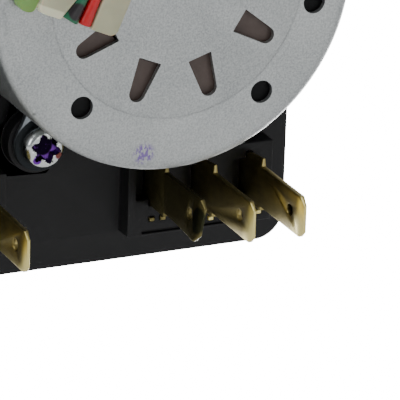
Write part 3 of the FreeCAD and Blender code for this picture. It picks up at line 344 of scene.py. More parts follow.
seam = loose("stake_seam", prism("stake_seam", [(12.9, SEAM_LOW), (28.7, SEAM_LOW), (28.7, SEAM_HIGH),
                                                (12.9, SEAM_HIGH)],
                                 PLATFORM_FACE - SEAM_DEPTH, PLATFORM_FACE + SEAM_DEPTH))
housing = new_piece("housing_moulding", clean_mesh("housing"), black_finish)
bake(eased(carve(housing, recess, seam), 0.16))
put_away(recess, seam)
seated(housing, "case", "black_moulding", "housing")


# Mounting plate: galvanised sheet that closes the housing's front, held by four countersunk
# slotted screws. Its spangle shows as dull and bright patches a few millimetres wide.
sheet_metal = Finish("galvanised_sheet", Metallic=1.0)
spangle = sheet_metal.axes(sheet_metal.cells(4.5, "Color", sheet_metal.node(
    "ShaderNodeVectorMath", {"operation": "ADD"},
    {0: sheet_metal.spot, 1: sheet_metal.node("ShaderNodeVectorMath", {"operation": "SCALE"}, {
        0: sheet_metal.node("ShaderNodeTexNoise", {}, {"Vector": sheet_metal.spot, "Scale": 400.0}, 1),
        "Scale": 0.002})})))[0]
rolling = sheet_metal.noise(0.4, 2.0, sheet_metal.stretched(0.05, 1.0, 1.0))
galvanised_finish = sheet_metal.lay(
    sheet_metal.tint(spangle * 0.7 + rolling * 0.3, chart(150, 153, 156), chart(196, 199, 202)),
    0.3 + spangle * 0.2 + rolling * 0.06, height=spangle + rolling * 0.5, depth=0.008)
plate = finished("mounting_plate", "front_plate", galvanised_finish, 0.14)
seated(plate, "case", "galvanised_steel", "mounting_plate")


class ShapeTree:
    """A Geometry Nodes tree with named sizes, built here and fed as arithmetic."""

    def __init__(self, name, sizes):
        self.tree = bpy.data.node_groups.new(name, "GeometryNodeTree")
        self.tree.interface.new_socket("Geometry", in_out="INPUT", socket_type="NodeSocketGeometry")
        for label, kind in sizes:
            self.tree.interface.new_socket(label, in_out="INPUT", socket_type="NodeSocket" + kind)
        self.tree.interface.new_socket("Geometry", in_out="OUTPUT", socket_type="NodeSocketGeometry")
        self.start = self.tree.nodes.new("NodeGroupInput")
        self.end = self.tree.nodes.new("NodeGroupOutput")

    def size(self, label):
        return Reading(self.tree, self.start.outputs[label])

    node = Finish.node

    def close(self, geometry, metal):
        solid = self.node("GeometryNodeRealizeInstances", {}, {"Geometry": geometry})
        dressed = self.node("GeometryNodeSetMaterial", {}, {"Geometry": solid, "Material": metal})
        feed(self.tree, self.end.inputs["Geometry"], dressed)

    def grow(self, name, mesh, **amounts):
        """Runs the tree on a mesh, with the sizes set by their sockets' identifiers."""
        piece = bpy.data.objects.new(name, mesh)
        bpy.context.scene.collection.objects.link(piece)
        modifier = piece.modifiers.new(self.tree.name, "NODES")
        modifier.node_group = self.tree
        for item in self.tree.interface.items_tree:
            if item.in_out == "INPUT" and item.name in amounts:
                modifier[item.identifier] = amounts[item.name]
        return bake(piece)


copies = ShapeTree("copies_at_points", [("Part", "Object"), ("Metal", "Material")])
part_shape = copies.node("GeometryNodeObjectInfo", {}, {"Object": copies.size("Part")}, "Geometry")
copies.close(copies.node("GeometryNodeInstanceOnPoints", {}, {
    "Points": copies.size("Geometry"), "Instance": part_shape}), copies.size("Metal"))


def turned(profile, x, z, steps):
    """A closed (radius, y) outline turned about an axis along Y; a radius of 0 closes at one point."""
    work = bmesh.new()
    rings = []
    for radius, y in profile:
        if radius == 0:
            rings.append([work.verts.new((x * MM, y * MM, z * MM))] * steps)
        else:
            rings.append([work.verts.new(((x + radius * math.cos(2 * math.pi * i / steps)) * MM, y * MM,
                                          (z + radius * math.sin(2 * math.pi * i / steps)) * MM))
                          for i in range(steps)])
    for first, second in zip(rings, rings[1:] + rings[:1]):
        if first[0] is first[1] and second[0] is second[1]:
            continue
        for i in range(steps):
            corners = [first[i], first[(i + 1) % steps], second[(i + 1) % steps], second[i]]
            work.faces.new(list(dict.fromkeys(corners)))
    bmesh.ops.recalc_face_normals(work, faces=work.faces)
    mesh = bpy.data.meshes.new("turned")
    work.to_mesh(mesh)
    work.free()
    return mesh


def dots(name, places):
    mesh = bpy.data.meshes.new(name)
    mesh.from_pydata([(x * MM, 0.0, z * MM) for x, z in places], [], [])
    return mesh


zinc = Finish("bright_zinc", Metallic=1.0)
haze = zinc.noise(0.9, 4.0)
screw_finish = zinc.lay(zinc.tint(haze, chart(176, 182, 192), chart(214, 214, 206)),
                        0.2 + haze * 0.16, height=zinc.noise(0.12, 2.0), depth=0.006)
PLATE_SCREW_PLACES = ((-33.5, 37.4), (33.5, 37.4), (-33.5, -14.0), (33.5, -14.0))
plate_screw = loose("plate_screw_shape", turned(
    [(0, -0.02), (2.2, -0.02), (2.42, -0.08), (2.46, -0.16), (1.25, -1.2), (1.25, -9.6), (0.7, -10.2),
     (0, -10.2)], 0, 0, 32))
slot_cut = prism("driver_slot", [(-3, -0.31), (3, -0.31), (3, 0.31), (-3, 0.31)], -0.6, 0.6)
slot_tool = loose("driver_slot", slot_cut)
bake(eased(carve(plate_screw, slot_tool), 0.05))
plate_screws = copies.grow("plate_fixings", dots("screw_places", PLATE_SCREW_PLACES),
                           Part=plate_screw, Metal=screw_finish)
seated(plate_screws, "case", "plated_steel", "plate_screws")
put_away(plate_screw, slot_tool)


# Knob shaft: turned steel with a flat for the knob, running in a nylon bush in the front plate
# and kept by a spring ring. Fine turning marks run round it.
turning = Finish("turned_steel", Metallic=1.0)
marks = turning.noise(0.25, 2.0, turning.stretched(0.02, 1.0, 0.02))
steel_finish = turning.lay(turning.tint(marks, chart(168, 170, 174), chart(200, 202, 205)),
                           0.24 + marks * 0.14, height=marks + turning.noise(0.3, 2.0) * 0.3, depth=0.006)
seated(finished("knob_shaft", "knob_spindle", steel_finish, 0.1), "cam", "ground_steel", "knob_shaft")
for node, name in (("rotor_pin", "rotor_spindle"), ("idler_pins", "idler_spindles")):
    seated(finished(node, name, steel_finish, 0.05), "case", "ground_steel", node)
seated(finished("output_shaft", "output_spindle", steel_finish, 0.06), "output", "ground_steel", "output_shaft")
spring_sheet = Finish("spring_steel", Metallic=1.0)
temper = spring_sheet.noise(2.4, 4.0)
spring_finish = spring_sheet.lay(spring_sheet.tint(temper, chart(92, 95, 108), chart(150, 150, 152)),
                                 0.28 + temper * 0.16, height=spring_sheet.noise(0.1), depth=0.004)
seated(finished("retaining_ring", "spring_ring", spring_finish, 0.08), "cam", "spring_steel", "retaining_ring")
seated(finished("clutch_spring", "clutch_washer", spring_finish, 0.04), "cam", "spring_steel", "clutch_spring")
nylon = Finish("cream_nylon", Subsurface_Weight=0.25, Subsurface_Scale=0.001, IOR=1.53)
milky = nylon.noise(3.0, 3.0)
nylon_finish = nylon.lay(nylon.tint(milky, chart(168, 168, 146), chart(196, 195, 176)),
                         0.34 + milky * 0.14, height=nylon.noise(0.5, 3.0), depth=0.012)
seated(finished("front_bush", "front_bearing", nylon_finish, 0.14), "case", "cream_nylon", "front_bush")


# Motor's back plate: zinc-plated sheet steel with two ears, its stamped edges rolled over so
# that they catch the light. A pan screw with a six-lobed socket holds each ear to the housing.
plating = Finish("zinc_plate", Metallic=1.0)
dull = plating.noise(0.35, 5.0, rough=0.65)
stain = plating.noise(5.0, 4.0)
plate_tone = plating.tint(dull * 0.6 + stain * 0.4, chart(112, 120, 126), chart(160, 165, 168))
# Painted shade: inside its bright rolled rim, the ear plate round each screw head is painted near-black. The dish
# also dips there in the bump.
dish_and_painted_shade = plating.reach(EAR_X, EAR_Z).between(4.35, 4.1) + plating.reach(*EAR_PLACES[1]).between(4.35, 4.1)
plate_x, _, plate_z = plating.axes()
# Painted shade: the lower right edge of the first ear is painted near-black.
under = (plate_x - EAR_X * MM) * 0.75 - (plate_z - EAR_Z * MM)
painted_lower_right_shade = under.between(2.2 * MM, 3.6 * MM) * plating.reach(EAR_X, EAR_Z).between(5.4, 5.1)
plate_finish = plating.lay(plating.tint((dish_and_painted_shade * 0.93).larger(painted_lower_right_shade * 0.85), plate_tone, chart(22, 25, 27)),
                           0.24 + dull * 0.14 + stain * 0.1 + dish_and_painted_shade * 0.2, height=dull - dish_and_painted_shade * 8.0, depth=0.012)
seated(finished("motor_base_plate", "motor_back_plate", plate_finish, 0.34, 50), "case", "zinc_steel",
       "motor_base_plate")
seated(finished("pole_plate", "pole_ring", plate_finish, 0.1), "case", "zinc_steel", "pole_plate")
HEAD_TOP = -39.8
HEAD_REST = -37.8
inked = Finish("marked_zinc", Metallic=1.0)
sheen = inked.noise(0.7, 4.0)
from_axis = inked.reach(EAR_X, EAR_Z)
_, deep, _ = inked.axes()
# Painted shade: the socket's inside is painted near-black violet, with a painted glint on its lower right edge.
# The violet blob and the rust spot outside the socket are ink and rust.
in_socket = from_axis.between(2.5, 2.3) * deep.between((HEAD_TOP + 0.12) * MM, (HEAD_TOP + 0.3) * MM)
sideways, _, upward = inked.axes()
lower_right = (sideways - EAR_X * MM) * 0.75 - (upward - EAR_Z * MM)
lower_right = lower_right.between(0.2 * MM, 1.6 * MM)
blob = inked.reach(EAR_X - 1.45, EAR_Z - 1.6).between(0.8, 0.5)
rust = inked.reach(EAR_X + 2.0, EAR_Z - 1.2).between(0.8, 0.4)
glint = in_socket * (lower_right * from_axis.between(1.25, 1.6) * 0.85
                     + inked.noise(0.7, 2.0).between(0.6, 0.7) * 0.3)
ink_and_painted_shade = inked.tint(in_socket,
                        inked.tint(rust, chart(104, 52, 150), chart(112, 66, 60)),
                        inked.tint(glint, chart(16, 8, 26), chart(122, 66, 168)))
motor_screw_finish = inked.lay(
    inked.tint((in_socket + blob * 0.9 + rust * 0.8).between(0.1, 0.8),
               inked.tint(sheen, chart(186, 192, 192), chart(212, 214, 210)), ink_and_painted_shade),
    0.12 + sheen * 0.1 + in_socket * 0.2, height=sheen, depth=0.006)
motor_screw = loose("motor_screw_shape", turned(
    [(0, HEAD_TOP), (2.45, HEAD_TOP), (2.8, HEAD_TOP + 0.16), (3.02, HEAD_TOP + 0.5), (3.2, HEAD_TOP + 0.95),
     (3.3, HEAD_TOP + 1.45), (3.26, HEAD_TOP + 1.8), (3.1, HEAD_REST), (1.75, HEAD_REST),
     (1.75, HEAD_REST + 4.4), (1.2, HEAD_REST + 5.1), (0, HEAD_REST + 5.1)], 0, 0, 72))
SOCKET_RADIUS, LOBE_DEPTH, LOBE_BEARING = 1.95, 0.38, math.radians(105)
socket_outline = []
for i in range(72):
    bearing = 2 * math.pi * i / 72
    radius = SOCKET_RADIUS + LOBE_DEPTH * math.cos(6 * (bearing - LOBE_BEARING))
    socket_outline.append((radius * math.cos(bearing), radius * math.sin(bearing)))
socket_mesh = bpy.data.meshes.new("socket_shape")
socket_mesh.from_pydata([(x * taper * MM, y * MM, z * taper * MM) for y, taper in ((HEAD_TOP - 0.5, 1.06),
                                                                                   (HEAD_TOP + 1.4, 0.92))
                         for x, z in socket_outline], [],
                        [tuple(range(71, -1, -1)), tuple(range(72, 144))]
                        + [(i, (i + 1) % 72, 72 + (i + 1) % 72, 72 + i) for i in range(72)])
socket_work = bmesh.new()
socket_work.from_mesh(socket_mesh)
bmesh.ops.recalc_face_normals(socket_work, faces=socket_work.faces)
socket_work.to_mesh(socket_mesh)
socket_work.free()
socket_tool = loose("socket_shape", socket_mesh)
bake(eased(carve(motor_screw, socket_tool), 0.09, 50))
motor_screws = copies.grow("motor_fixings", dots("ear_places", EAR_PLACES),
                           Part=motor_screw, Metal=motor_screw_finish)
seated(motor_screws, "case", "plated_steel", "motor_screws")
put_away(motor_screw, socket_tool)


# Motor can: a drawn cup of dull zinc-plated steel. Nine tapered claws are cut in its face and
# bent inwards, four small holes locate it, and a faint drawing ring runs round the claws.
CAN_RADIUS = 27.84
CAN_WALL = 0.8
CAN_FACE = -56.6
CAN_OPEN = -37.8
RIM = 2.1
DRAW_RING = 19.5
CLAW_ROOT, CLAW_END, CLAW_TIP = 11.3, 17.65, 1.25
CLAW_BEARING = math.radians(8.2)
CLAWS = 9
drawn = Finish("drawn_zinc_steel", Metallic=1.0)
fine = drawn.noise(0.14, 2.0)
mottle = drawn.noise(0.55, 5.0, rough=0.7)
patch = drawn.noise(9.0, 4.0)
off_axis = drawn.reach(MOTOR_X, MOTOR_Z)
ring_mark = abs(off_axis - DRAW_RING).between(0.2, 0.0)
smudge_reach = drawn.reach(4.2, -16.5)
pen = drawn.noise(0.45, 3.0, drawn.stretched(1.0, 1.0, 0.5)).between(0.43, 0.52)
smudge = smudge_reach.between(2.0, 1.0) * pen
pip = drawn.reach(-12.6, -8.65).between(0.34, 0.12) + drawn.reach(-2.9, -17.2).between(0.35, 0.12)
speckle = drawn.noise(0.28, 2.0).between(0.3, 0.7)
zinc_tone = drawn.tint(mottle * 0.4 + speckle * 0.3 + patch * 0.3, chart(120, 125, 127), chart(206, 208, 206))
# Painted shade: from about 2 mm behind its face, the can's side is painted darker. The violet smudge on the face
# is ink.
_, back_from_face, _ = drawn.axes()
side_wall = back_from_face.between(-55.9 * MM, -54.6 * MM)
inked_tone = drawn.tint(smudge * 0.8, zinc_tone, chart(112, 84, 158))
marked_and_painted_shade = drawn.tint(side_wall * 0.42, inked_tone, chart(44, 52, 54))
can_finish = drawn.lay(drawn.tint(ring_mark * 0.22 + pip * 0.6, marked_and_painted_shade, chart(96, 98, 100)),
                       0.34 + mottle * 0.14 + fine * 0.1, height=mottle + speckle + fine * 0.8 - ring_mark,
                       depth=0.026, strength=0.8)
arc = [math.radians(a) for a in range(0, 91, 10)]
outside = [(CAN_RADIUS, CAN_OPEN)] + [(CAN_RADIUS - RIM + RIM * math.cos(a), CAN_FACE + RIM - RIM * math.sin(a))
                                      for a in arc]
outside += [(DRAW_RING + step, CAN_FACE + deep) for step, deep in ((0.2, 0), (0.1, 0.03), (-0.1, 0.03), (-0.2, 0))]
outside.append((0, CAN_FACE))
inner_round = RIM - CAN_WALL
inside = [(0, CAN_FACE + CAN_WALL)] + [(CAN_RADIUS - RIM + inner_round * math.cos(a),
                                        CAN_FACE + RIM - inner_round * math.sin(a)) for a in reversed(arc)]
inside.append((CAN_RADIUS - CAN_WALL, CAN_OPEN))
can = new_piece("motor_cup", turned(outside + inside, MOTOR_X, MOTOR_Z, 144), can_finish)

ring = ShapeTree("ring_of_claws", [("Count", "Int"), ("First Bearing", "Float"), ("Centre", "Vector"),
                                   ("Metal", "Material")])
count = ring.size("Count")
turn = (ring.node("GeometryNodeInputIndex", {}, {}) * (2 * math.pi) / count + ring.size("First Bearing")) * -1.0
spun = ring.node("GeometryNodeInstanceOnPoints", {}, {
    "Points": ring.node("GeometryNodePoints", {}, {"Count": count}), "Instance": ring.size("Geometry"),
    "Rotation": ring.node("ShaderNodeCombineXYZ", {}, {"Y": turn})})
ring.close(ring.node("GeometryNodeTransform", {}, {"Geometry": spun, "Translation": ring.size("Centre")}),
           ring.size("Metal"))

window_line = [(CLAW_ROOT, -1.84)]
window_line += [(CLAW_END - CLAW_TIP + CLAW_TIP * math.cos(a), CLAW_TIP * math.sin(a))
                for a in (math.radians(bearing) for bearing in range(-84, 85, 14))]
window_line.append((CLAW_ROOT, 1.84))
window = prism("claw_window", window_line, CAN_FACE - 1, CAN_FACE + 2)
centre = (MOTOR_X * MM, 0.0, MOTOR_Z * MM)
windows = ring.grow("claw_windows", window, **{"Count": CLAWS, "First Bearing": CLAW_BEARING, "Centre": centre,
                                               "Metal": can_finish})
HOLE_RADIUS, HOLE_REACH = 1.7, 21.9
HOLE_BEARINGS = (108.2, 228.2, 308.2, 348.2)
hole_line = [(0, CAN_FACE - 1), (HOLE_RADIUS, CAN_FACE - 1), (HOLE_RADIUS, CAN_FACE + 2), (0, CAN_FACE + 2)]
hole_tools = [loose("face_hole", turned(hole_line, MOTOR_X + HOLE_REACH * math.cos(math.radians(bearing)),
                                        MOTOR_Z + HOLE_REACH * math.sin(math.radians(bearing)), 40))
              for bearing in HOLE_BEARINGS]
bake(eased(carve(can, windows, *hole_tools), 0))

TONGUE_OUT, TONGUE_IN, TONGUE_HALF = CLAW_ROOT - 0.03, CLAW_ROOT - 0.83, 1.8
tongue = prism("claw_tongue", [(TONGUE_IN, -TONGUE_HALF), (TONGUE_IN, TONGUE_HALF), (TONGUE_OUT, TONGUE_HALF),
                               (TONGUE_OUT, -TONGUE_HALF)], CAN_FACE + 0.4, CAN_FACE + 7.6)
for corner in tongue.vertices:
    if corner.co.y > (CAN_FACE + 7) * MM:
        # The bent-in claw narrows to half its width at its end
        corner.co.z *= 0.5
tongues = ring.grow("claw_tongues", tongue, **{"Count": CLAWS, "First Bearing": CLAW_BEARING, "Centre": centre,
                                               "Metal": can_finish})
seated(can, "case", "zinc_steel", "motor_can")
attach(tongues, "case")
put_away(windows, *hole_tools)


# Coil and rotor: enamelled copper wound on a dark moulded bobbin, and a ferrite ring on an
# acetal hub. Only the bobbin's flange shows, through the claw windows.
brown = Finish("bobbin_moulding", IOR=1.5, Specular_IOR_Level=0.25)
swirl = brown.noise(1.6, 3.0)
# Painted shade: beyond about 19.5 mm from the axis, the flange is painted near-black for the dark inside of the
# can seen through the face holes.
painted_shade_outer = brown.reach(MOTOR_X, MOTOR_Z).between(19.3, 19.7)
brown_finish = brown.lay(brown.tint(painted_shade_outer, brown.tint(swirl, chart(78, 66, 62), chart(98, 86, 80)),
                                    chart(12, 12, 13)), 0.42 + swirl * 0.1 + painted_shade_outer * 0.2, height=swirl, depth=0.01)
bobbin = new_piece("bobbin", turned(
    [(11.65, -55.35), (25.8, -55.35), (26.0, -55.2), (26.0, -54.7), (25.8, -54.55), (13.2, -54.55),
     (13.2, -46.75), (25.8, -46.75), (26.0, -46.6), (26.0, -46.1), (25.8, -45.95), (11.65, -45.95)],
    MOTOR_X, MOTOR_Z, 96), brown_finish)
seated(bake(bobbin), "case", "cream_nylon", "coil_bobbin")
copper = Finish("enamelled_copper", Metallic=1.0, Coat_Weight=0.6)
_, lengthwise, _ = copper.axes()
turns = ((lengthwise * (2 * math.pi / (0.22 * MM))).wave() + (copper.reach(MOTOR_X, MOTOR_Z)
                                                             * (2 * math.pi / 0.22)).wave()) * 0.5
copper_finish = copper.lay(copper.tint(copper.noise(2.0), chart(150, 78, 44), chart(186, 104, 60)),
                           0.25 + copper.noise(0.6) * 0.12, height=turns, depth=0.08)
ferrite = Finish("ferrite")
pits = ferrite.noise(0.18, 3.0).between(0.6, 0.7)
ferrite_finish = ferrite.lay(ferrite.tint(ferrite.noise(1.5), chart(52, 52, 56), chart(74, 74, 78)),
                             0.55 + pits * 0.2, height=-pits, depth=0.02)
acetal = Finish("natural_acetal", Subsurface_Weight=0.15, Subsurface_Scale=0.0008, IOR=1.48)
flow = acetal.noise(2.2, 3.0)
acetal_finish = acetal.lay(acetal.tint(flow, chart(214, 208, 190), chart(232, 228, 214)), 0.34 + flow * 0.12,
                           height=acetal.noise(0.3, 3.0), depth=0.008)
seated(finished("coil_winding", "winding", copper_finish, 0.1), "case", "copper_wire", "coil_winding")
seated(finished("rotor_magnet", "magnet_ring", ferrite_finish, 0.12), "rotor", "ferrite", "rotor_magnet")


# Gear train: moulded acetal wheels with their pinions, on steel pins. The output pinion is
# brass, hobbed and pressed on its shaft, and runs in a sintered bronze bush.
def dress(node, finish):
    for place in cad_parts[node].material_slots:
        place.material = finish


for node in ("rotor_hub", "idler_gear_1", "idler_gear_2", "idler_gear_3", "output_gear", "drive_gear"):
    dress(node, acetal_finish)
hobbed = Finish("hobbed_brass", Metallic=1.0)
tooling = hobbed.noise(0.2, 2.0, hobbed.stretched(0.2, 1.0, 0.2))
dress("output_pinion", hobbed.lay(hobbed.tint(tooling, chart(186, 152, 82), chart(214, 184, 112)),
                                  0.24 + tooling * 0.12, height=tooling, depth=0.006))
sintered = Finish("sintered_bronze", Metallic=1.0)
pores = sintered.cells(0.16).between(0.12, 0.3)
bronze_finish = sintered.lay(sintered.tint(pores, chart(86, 62, 40), chart(164, 124, 82)), 0.55 - pores * 0.15,
                             height=pores, depth=0.02)
seated(finished("output_bush", "output_bearing", bronze_finish, 0.1), "case", "bush_bronze", "output_bush")


# Program cam: white acetal with three tracks and thin webs, slightly glossy from the mould.
white = Finish("white_acetal", Subsurface_Weight=0.1, Subsurface_Scale=0.0008, IOR=1.48)
chalk = white.noise(3.0, 3.0)
white_finish = white.lay(white.tint(chalk, chart(222, 222, 216), chart(238, 238, 234)), 0.3 + chalk * 0.12,
                         height=white.noise(0.4, 2.0), depth=0.008)
seated(finished("program_cam", "cam_drum", white_finish, 0.1), "cam", "white_acetal", "program_cam")


# Terminals: brass stampings in two rows of three. Each has a bevelled quick-connect tab with a
# dimple hole outside, two staked legs beside it, and a foot inside that carries a switch blade.
TAB_ROOT_Y, TAB_TIP_Y = -42.6, -55.7
TAB_MIDDLE_Z = -29.9
LEAD_IN = 1.5
LIFTED = 1.1
STAKE_Z, STAKE_GAP = -35.9, 1.8
THIRD_TAB_X = 14.4
TAB_SPACING = 7.95
TAB_PLACES = [row - i * TAB_SPACING for row in (30.35, -12.95) for i in range(3)]
TAB_LONGER = {1: 1.3, 2: 0.7}
brass = Finish("stamped_brass", Metallic=1.0)
tarnish = brass.noise(1.8, 4.0)
rubbed = brass.noise(0.4, 2.0, brass.stretched(1.0, 0.25, 1.0))
brass_x, brass_y, brass_z = brass.axes()
third = abs(brass_x - THIRD_TAB_X * MM).between(2.4 * MM, 1.6 * MM)
tip = (brass_y * -1.0 - (brass_z - TAB_MIDDLE_Z * MM) * 0.4).between(53.6 * MM, 55.2 * MM) * (1.0 - third)
# Painted shade: the third tab is painted darker, and near-black round its hole by the bent tip.
painted_hole_shade = (((brass_y / MM + 54.6) / 1.7) ** 2.0 + ((brass_z / MM + 28.8) / 2.1) ** 2.0) ** 0.5
brass_tone = brass.tint(tarnish * 0.7 + rubbed * 0.3, chart(128, 116, 74), chart(166, 152, 98))
staked = brass_z.between(-35.1 * MM, -35.3 * MM)
shaded = brass.tint(third * 0.6, brass_tone, chart(64, 62, 38))
# Painted highlight: the bevelled ends of the tabs other than the third, and the staked legs below the stake line,
# are painted pale brass.
painted_highlight_ends = brass.tint(tip.larger(staked), shaded, chart(216, 202, 132))
brass_finish = brass.lay(brass.tint(painted_hole_shade.between(1.1, 0.8) * third * 0.85, painted_highlight_ends, chart(20, 30, 24)),
                         0.33 + tarnish * 0.06, height=rubbed * 0.4 + tarnish, depth=0.002)
lifted_part = [corner for corner in housing.data.vertices if corner.co.y < -34.0 * MM
               and 11.6 * MM < corner.co.x < 17.0 * MM and -36.5 * MM < corner.co.z < -26.8 * MM]
for corner in lifted_part:
    corner.co.z += LIFTED * MM
for number, across in enumerate(TAB_PLACES, 1):
    node = "terminal_%d" % number
    longer = TAB_LONGER.get(number, 0.0)
    stations = [TAB_TIP_Y + LEAD_IN, PLATFORM_FACE + 0.05]
    if number == 3:
        stations += [-37.0, -35.0] + [TAB_ROOT_Y + (TAB_TIP_Y + LEAD_IN - TAB_ROOT_Y) * k / 8 for k in range(8)]
    stamping = new_piece("tab_stamping_%d" % number, clean_mesh(node, stations), brass_finish)
    for corner in stamping.data.vertices:
        x, y, z = (amount / MM for amount in corner.co)
        out = (TAB_ROOT_Y - y) / (TAB_ROOT_Y - TAB_TIP_Y)
        if out > 0.01:
            # The end is bevelled on both faces to lead into its connector
            x = across + (x - across) * (1 - 0.5 * max(0.0, (TAB_TIP_Y + LEAD_IN - y) / LEAD_IN))
            y -= longer * out
        elif out > -0.01 and z > TAB_MIDDLE_Z + 3.3:
            x, z = across + (x - across) * 0.55, z + 0.7
        elif y < PLATFORM_FACE - 0.3 and abs(z - STAKE_Z) < 0.5:
            # The staked ends are peened to small domes
            middle = across + (STAKE_GAP if x > across + STAKE_GAP / 2 else 0.0)
            x, z = middle + (x - middle) * 0.65, STAKE_Z + (z - STAKE_Z) * 0.65
        corner.co = (x * MM, y * MM, z * MM)
    bake(eased(stamping, 0.1, 30))
    if number == 3:
        # This one stands a little higher than its neighbours, and its lower tip corner is bent in
        for corner in stamping.data.vertices:
            share = max(0.0, (TAB_ROOT_Y * MM - corner.co.y) / ((TAB_ROOT_Y - TAB_TIP_Y) * MM))
            rise = (corner.co.z - TAB_MIDDLE_Z * MM) / (3.2 * MM)
            corner.co.x += (0.15 + 0.6 * rise - 0.4 * rise * rise) * share ** 1.7 * MM
            corner.co.z += LIFTED * MM * min(1.0, max(0.0, (-35.0 * MM - corner.co.y) / (2.0 * MM)))
    seated(stamping, "case", "tab_brass", node)
leaf = Finish("spring_bronze", Metallic=1.0)
strip = leaf.noise(0.3, 2.0, leaf.stretched(0.1, 1.0, 1.0))
leaf_finish = leaf.lay(leaf.tint(strip, chart(176, 124, 84), chart(206, 156, 112)), 0.26 + strip * 0.12,
                       height=strip, depth=0.006)
silver = Finish("contact_silver", Metallic=1.0)
worn = silver.noise(0.4, 4.0)
silver_finish = silver.lay(silver.tint(worn, chart(176, 174, 168), chart(220, 219, 214)), 0.26 + worn * 0.2,
                           height=worn, depth=0.01)
for number in (1, 2, 3):
    node = "spring_blade_%d" % number
    seated(finished(node, "leaf_spring_%d" % number, leaf_finish, 0.05), "case", "spring_bronze", node)
seated(finished("moving_contacts", "upper_contacts", silver_finish, 0.12), "case", "silver_contact",
       "moving_contacts")
seated(finished("fixed_contacts", "lower_contacts", silver_finish, 0.12), "case", "silver_contact",
       "fixed_contacts")


# Lead connector: a cream nylon clip on the motor's face with a channel for each lead. The red
# and the green lead run over the rim and back into the housing through rubber grommets.
CLIP_FOOT = Vector((-8.0, 5.25))
CLIP_TURN = math.radians(67)
CLIP_UP = Vector((math.cos(CLIP_TURN), math.sin(CLIP_TURN)))
CLIP_ACROSS = Vector((math.sin(CLIP_TURN), -math.cos(CLIP_TURN)))
CLIP_FRONT = -59.8
clip_nylon = Finish("clip_nylon", Subsurface_Weight=0.3, Subsurface_Scale=0.0012, IOR=1.53)
body_tone = clip_nylon.noise(3.5, 3.0)
clip_x, _, clip_z = clip_nylon.axes()
clip_x, clip_z = clip_x / MM - CLIP_FOOT.x, clip_z / MM - CLIP_FOOT.y
up_clip = clip_x * CLIP_UP.x + clip_z * CLIP_UP.y
over_clip = clip_x * CLIP_ACROSS.x + clip_z * CLIP_ACROSS.y
# Painted highlight: a pale band along the foot edge of the clip's left part.
painted_edge_highlight = up_clip.between(1.3, 1.0) * over_clip.between(-2.4, -2.8)
clip_colour = clip_nylon.tint(painted_edge_highlight, clip_nylon.tint(body_tone, chart(154, 153, 124), chart(186, 184, 154)),
                              chart(214, 214, 184))
clip_colour = clip_nylon.tint(over_clip.between(-6.5, -6.8), clip_colour, chart(112, 152, 74))
clip_finish = clip_nylon.lay(clip_colour, 0.3 + body_tone * 0.14, height=clip_nylon.noise(0.6, 3.0), depth=0.015)


def slab(name, outline, low, high):
    """A prism from (along, across) places on the clip."""
    return prism(name, [CLIP_FOOT + CLIP_UP * along + CLIP_ACROSS * over for along, over in outline], low, high)


def rounded(foot, top, left, right, radius):
    """A rectangle with rounded corners, as (along, over) places on the clip."""
    places = []
    for quarter, (along, over) in enumerate(((top - radius, right - radius), (top - radius, left + radius),
                                             (foot + radius, left + radius), (foot + radius, right - radius))):
        places += [(along + radius * math.cos(a), over + radius * math.sin(a))
                   for a in (math.radians(90 - 90 * quarter - step) for step in range(0, 91, 15))]
    return places


clip_line = rounded(0, 15.6, -6.5, 6.5, 1.1)
clip = new_piece("lead_clip", slab("lead_clip", clip_line, CLIP_FRONT, CAN_FACE), clip_finish)
channel = loose("channel", slab("channel", [(-1, -3.0), (-1, 2.4), (17, 2.35), (17, -1.4), (3.6, -1.4)],
                                CLIP_FRONT - 1, -57.8))
bake(eased(carve(clip, channel), 0.28, 40, 3))
seated(clip, "case", "cream_nylon", "lead_connector")
put_away(channel)
lug_line = rounded(-0.6, 6.0, -9.2, -6.4, 1.2)
lug = new_piece("clip_lug", slab("clip_lug", lug_line, CLIP_FRONT + 0.7, CAN_FACE + 0.1), clip_finish)
bake(eased(lug, 0.3, 40, 3))
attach(lug, "case")


def smooth_line(name, route):
    """Places along a smooth curve that a lead's chosen points pull into shape."""
    line = bpy.data.curves.new(name + "_line", "CURVE")
    line.dimensions = "3D"
    line.resolution_u = 8
    spline = line.splines.new("NURBS")
    spline.points.add(len(route) - 1)
    for point, spot in zip(spline.points, route):
        point.co = (spot[0] * MM, spot[1] * MM, spot[2] * MM, 1.0)
    spline.order_u = 3
    spline.use_endpoint_u = True
    line_object = loose(name + "_line", line)
    centres = [v.co.copy() for v in bpy.data.meshes.new_from_object(
        line_object.evaluated_get(bpy.context.evaluated_depsgraph_get())).vertices]
    put_away(line_object)
    return centres


def flattened_tube(name, centres, radius, foot_width):
    """A round sleeve along the places, pressed wider over its foot in the clip."""
    work = bmesh.new()
    rings = []
    for i, centre_spot in enumerate(centres):
        heading = (centres[min(i + 1, len(centres) - 1)] - centres[max(i - 1, 0)]).normalized()
        side = Vector((CLIP_ACROSS.x, 0, CLIP_ACROSS.y))
        side = (side - heading * side.dot(heading)).normalized()
        proud = heading.cross(side)
        gone = (centre_spot - centres[0]).length / MM
        wide = radius + (foot_width - radius) * max(0.0, 1 - gone / FOOT_LENGTH)
        rings.append([work.verts.new(centre_spot + (side * wide * math.cos(a) + proud * radius * math.sin(a))
                                     * MM) for a in (2 * math.pi * k / SLEEVE_SIDES for k in range(SLEEVE_SIDES))])
    for first, second in zip(rings, rings[1:]):
        for k in range(SLEEVE_SIDES):
            after = (k + 1) % SLEEVE_SIDES
            work.faces.new((first[k], first[after], second[after], second[k]))
    work.faces.new(rings[0])
    work.faces.new(rings[-1])
    bmesh.ops.recalc_face_normals(work, faces=work.faces)
    tube = bpy.data.meshes.new(name)
    work.to_mesh(tube)
    work.free()
    return tube


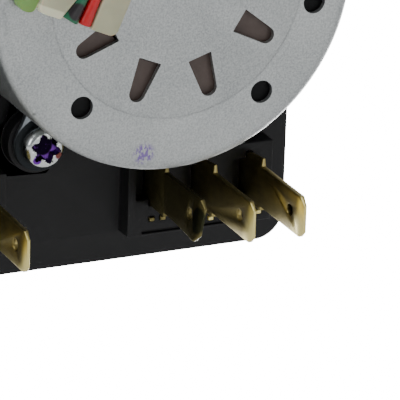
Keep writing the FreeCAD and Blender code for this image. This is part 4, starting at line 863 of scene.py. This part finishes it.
LEAD_LEVEL = -58.95
FOOT_LENGTH = 3.6
SLEEVE_SIDES = 20
for node, name, slot, first_over, over, column, sleeve_radius, foot_width, dark, light in (
        ("red_lead", "red_wire", "red_sleeve", 1.45, 1.43, (13.37, 38.04), 0.85, 1.0, (150, 6, 10), (206, 16, 24)),
        ("green_lead", "green_wire", "green_sleeve", -1.15, -0.42, (9.80, 38.20), 0.93, 1.5, (2, 66, 40),
         (14, 112, 74))):
    sleeve = Finish(slot, IOR=1.5)
    rub = sleeve.noise(1.2, 4.0)
    sleeve_colour = sleeve.tint(rub, chart(*dark), chart(*light))
    if name == "green_wire":
        # Painted shade: the sleeve's end is painted near-black, for the shade inside its cut end
        sleeve_colour = sleeve.tint(sleeve.reach(-8.0, 7.2).between(1.45, 1.1), sleeve_colour, chart(18, 12, 16))
    sleeve_finish = sleeve.lay(sleeve_colour, 0.3 + rub * 0.16, height=sleeve.noise(0.2, 3.0), depth=0.01)
    route = [CLIP_FOOT + CLIP_ACROSS * place + CLIP_UP * along
             for along, place in ((0.2, first_over), (3.5, over), (9.0, over), (15.0, over))]
    route = [(spot.x, LEAD_LEVEL, spot.y) for spot in route]
    lean = Vector(column) - Vector((route[-1][0], route[-1][2]))
    route += [(route[-1][0] + lean.x * 0.7, LEAD_LEVEL, route[-1][2] + lean.y * 0.7),
              (column[0], LEAD_LEVEL, column[1]), (column[0], -50.0, column[1]), (column[0], -40.0, column[1]),
              (column[0], -24.2, column[1])]
    tube = flattened_tube(name, smooth_line(name, route), sleeve_radius, foot_width)
    wire = new_piece(name, tube, sleeve_finish)
    seated(bake(eased(wire, 0.3, 60, 3), 50), "case", slot, node)
rubber = Finish("black_rubber", IOR=1.5)
bloom = rubber.noise(0.8, 5.0)
rubber_finish = rubber.lay(rubber.tint(bloom, chart(26, 26, 27), chart(44, 44, 45)), 0.62 + bloom * 0.16,
                           height=bloom, depth=0.02)
seated(finished("lead_grommets", "grommets", rubber_finish, 0.1), "case", "black_rubber", "lead_grommets")
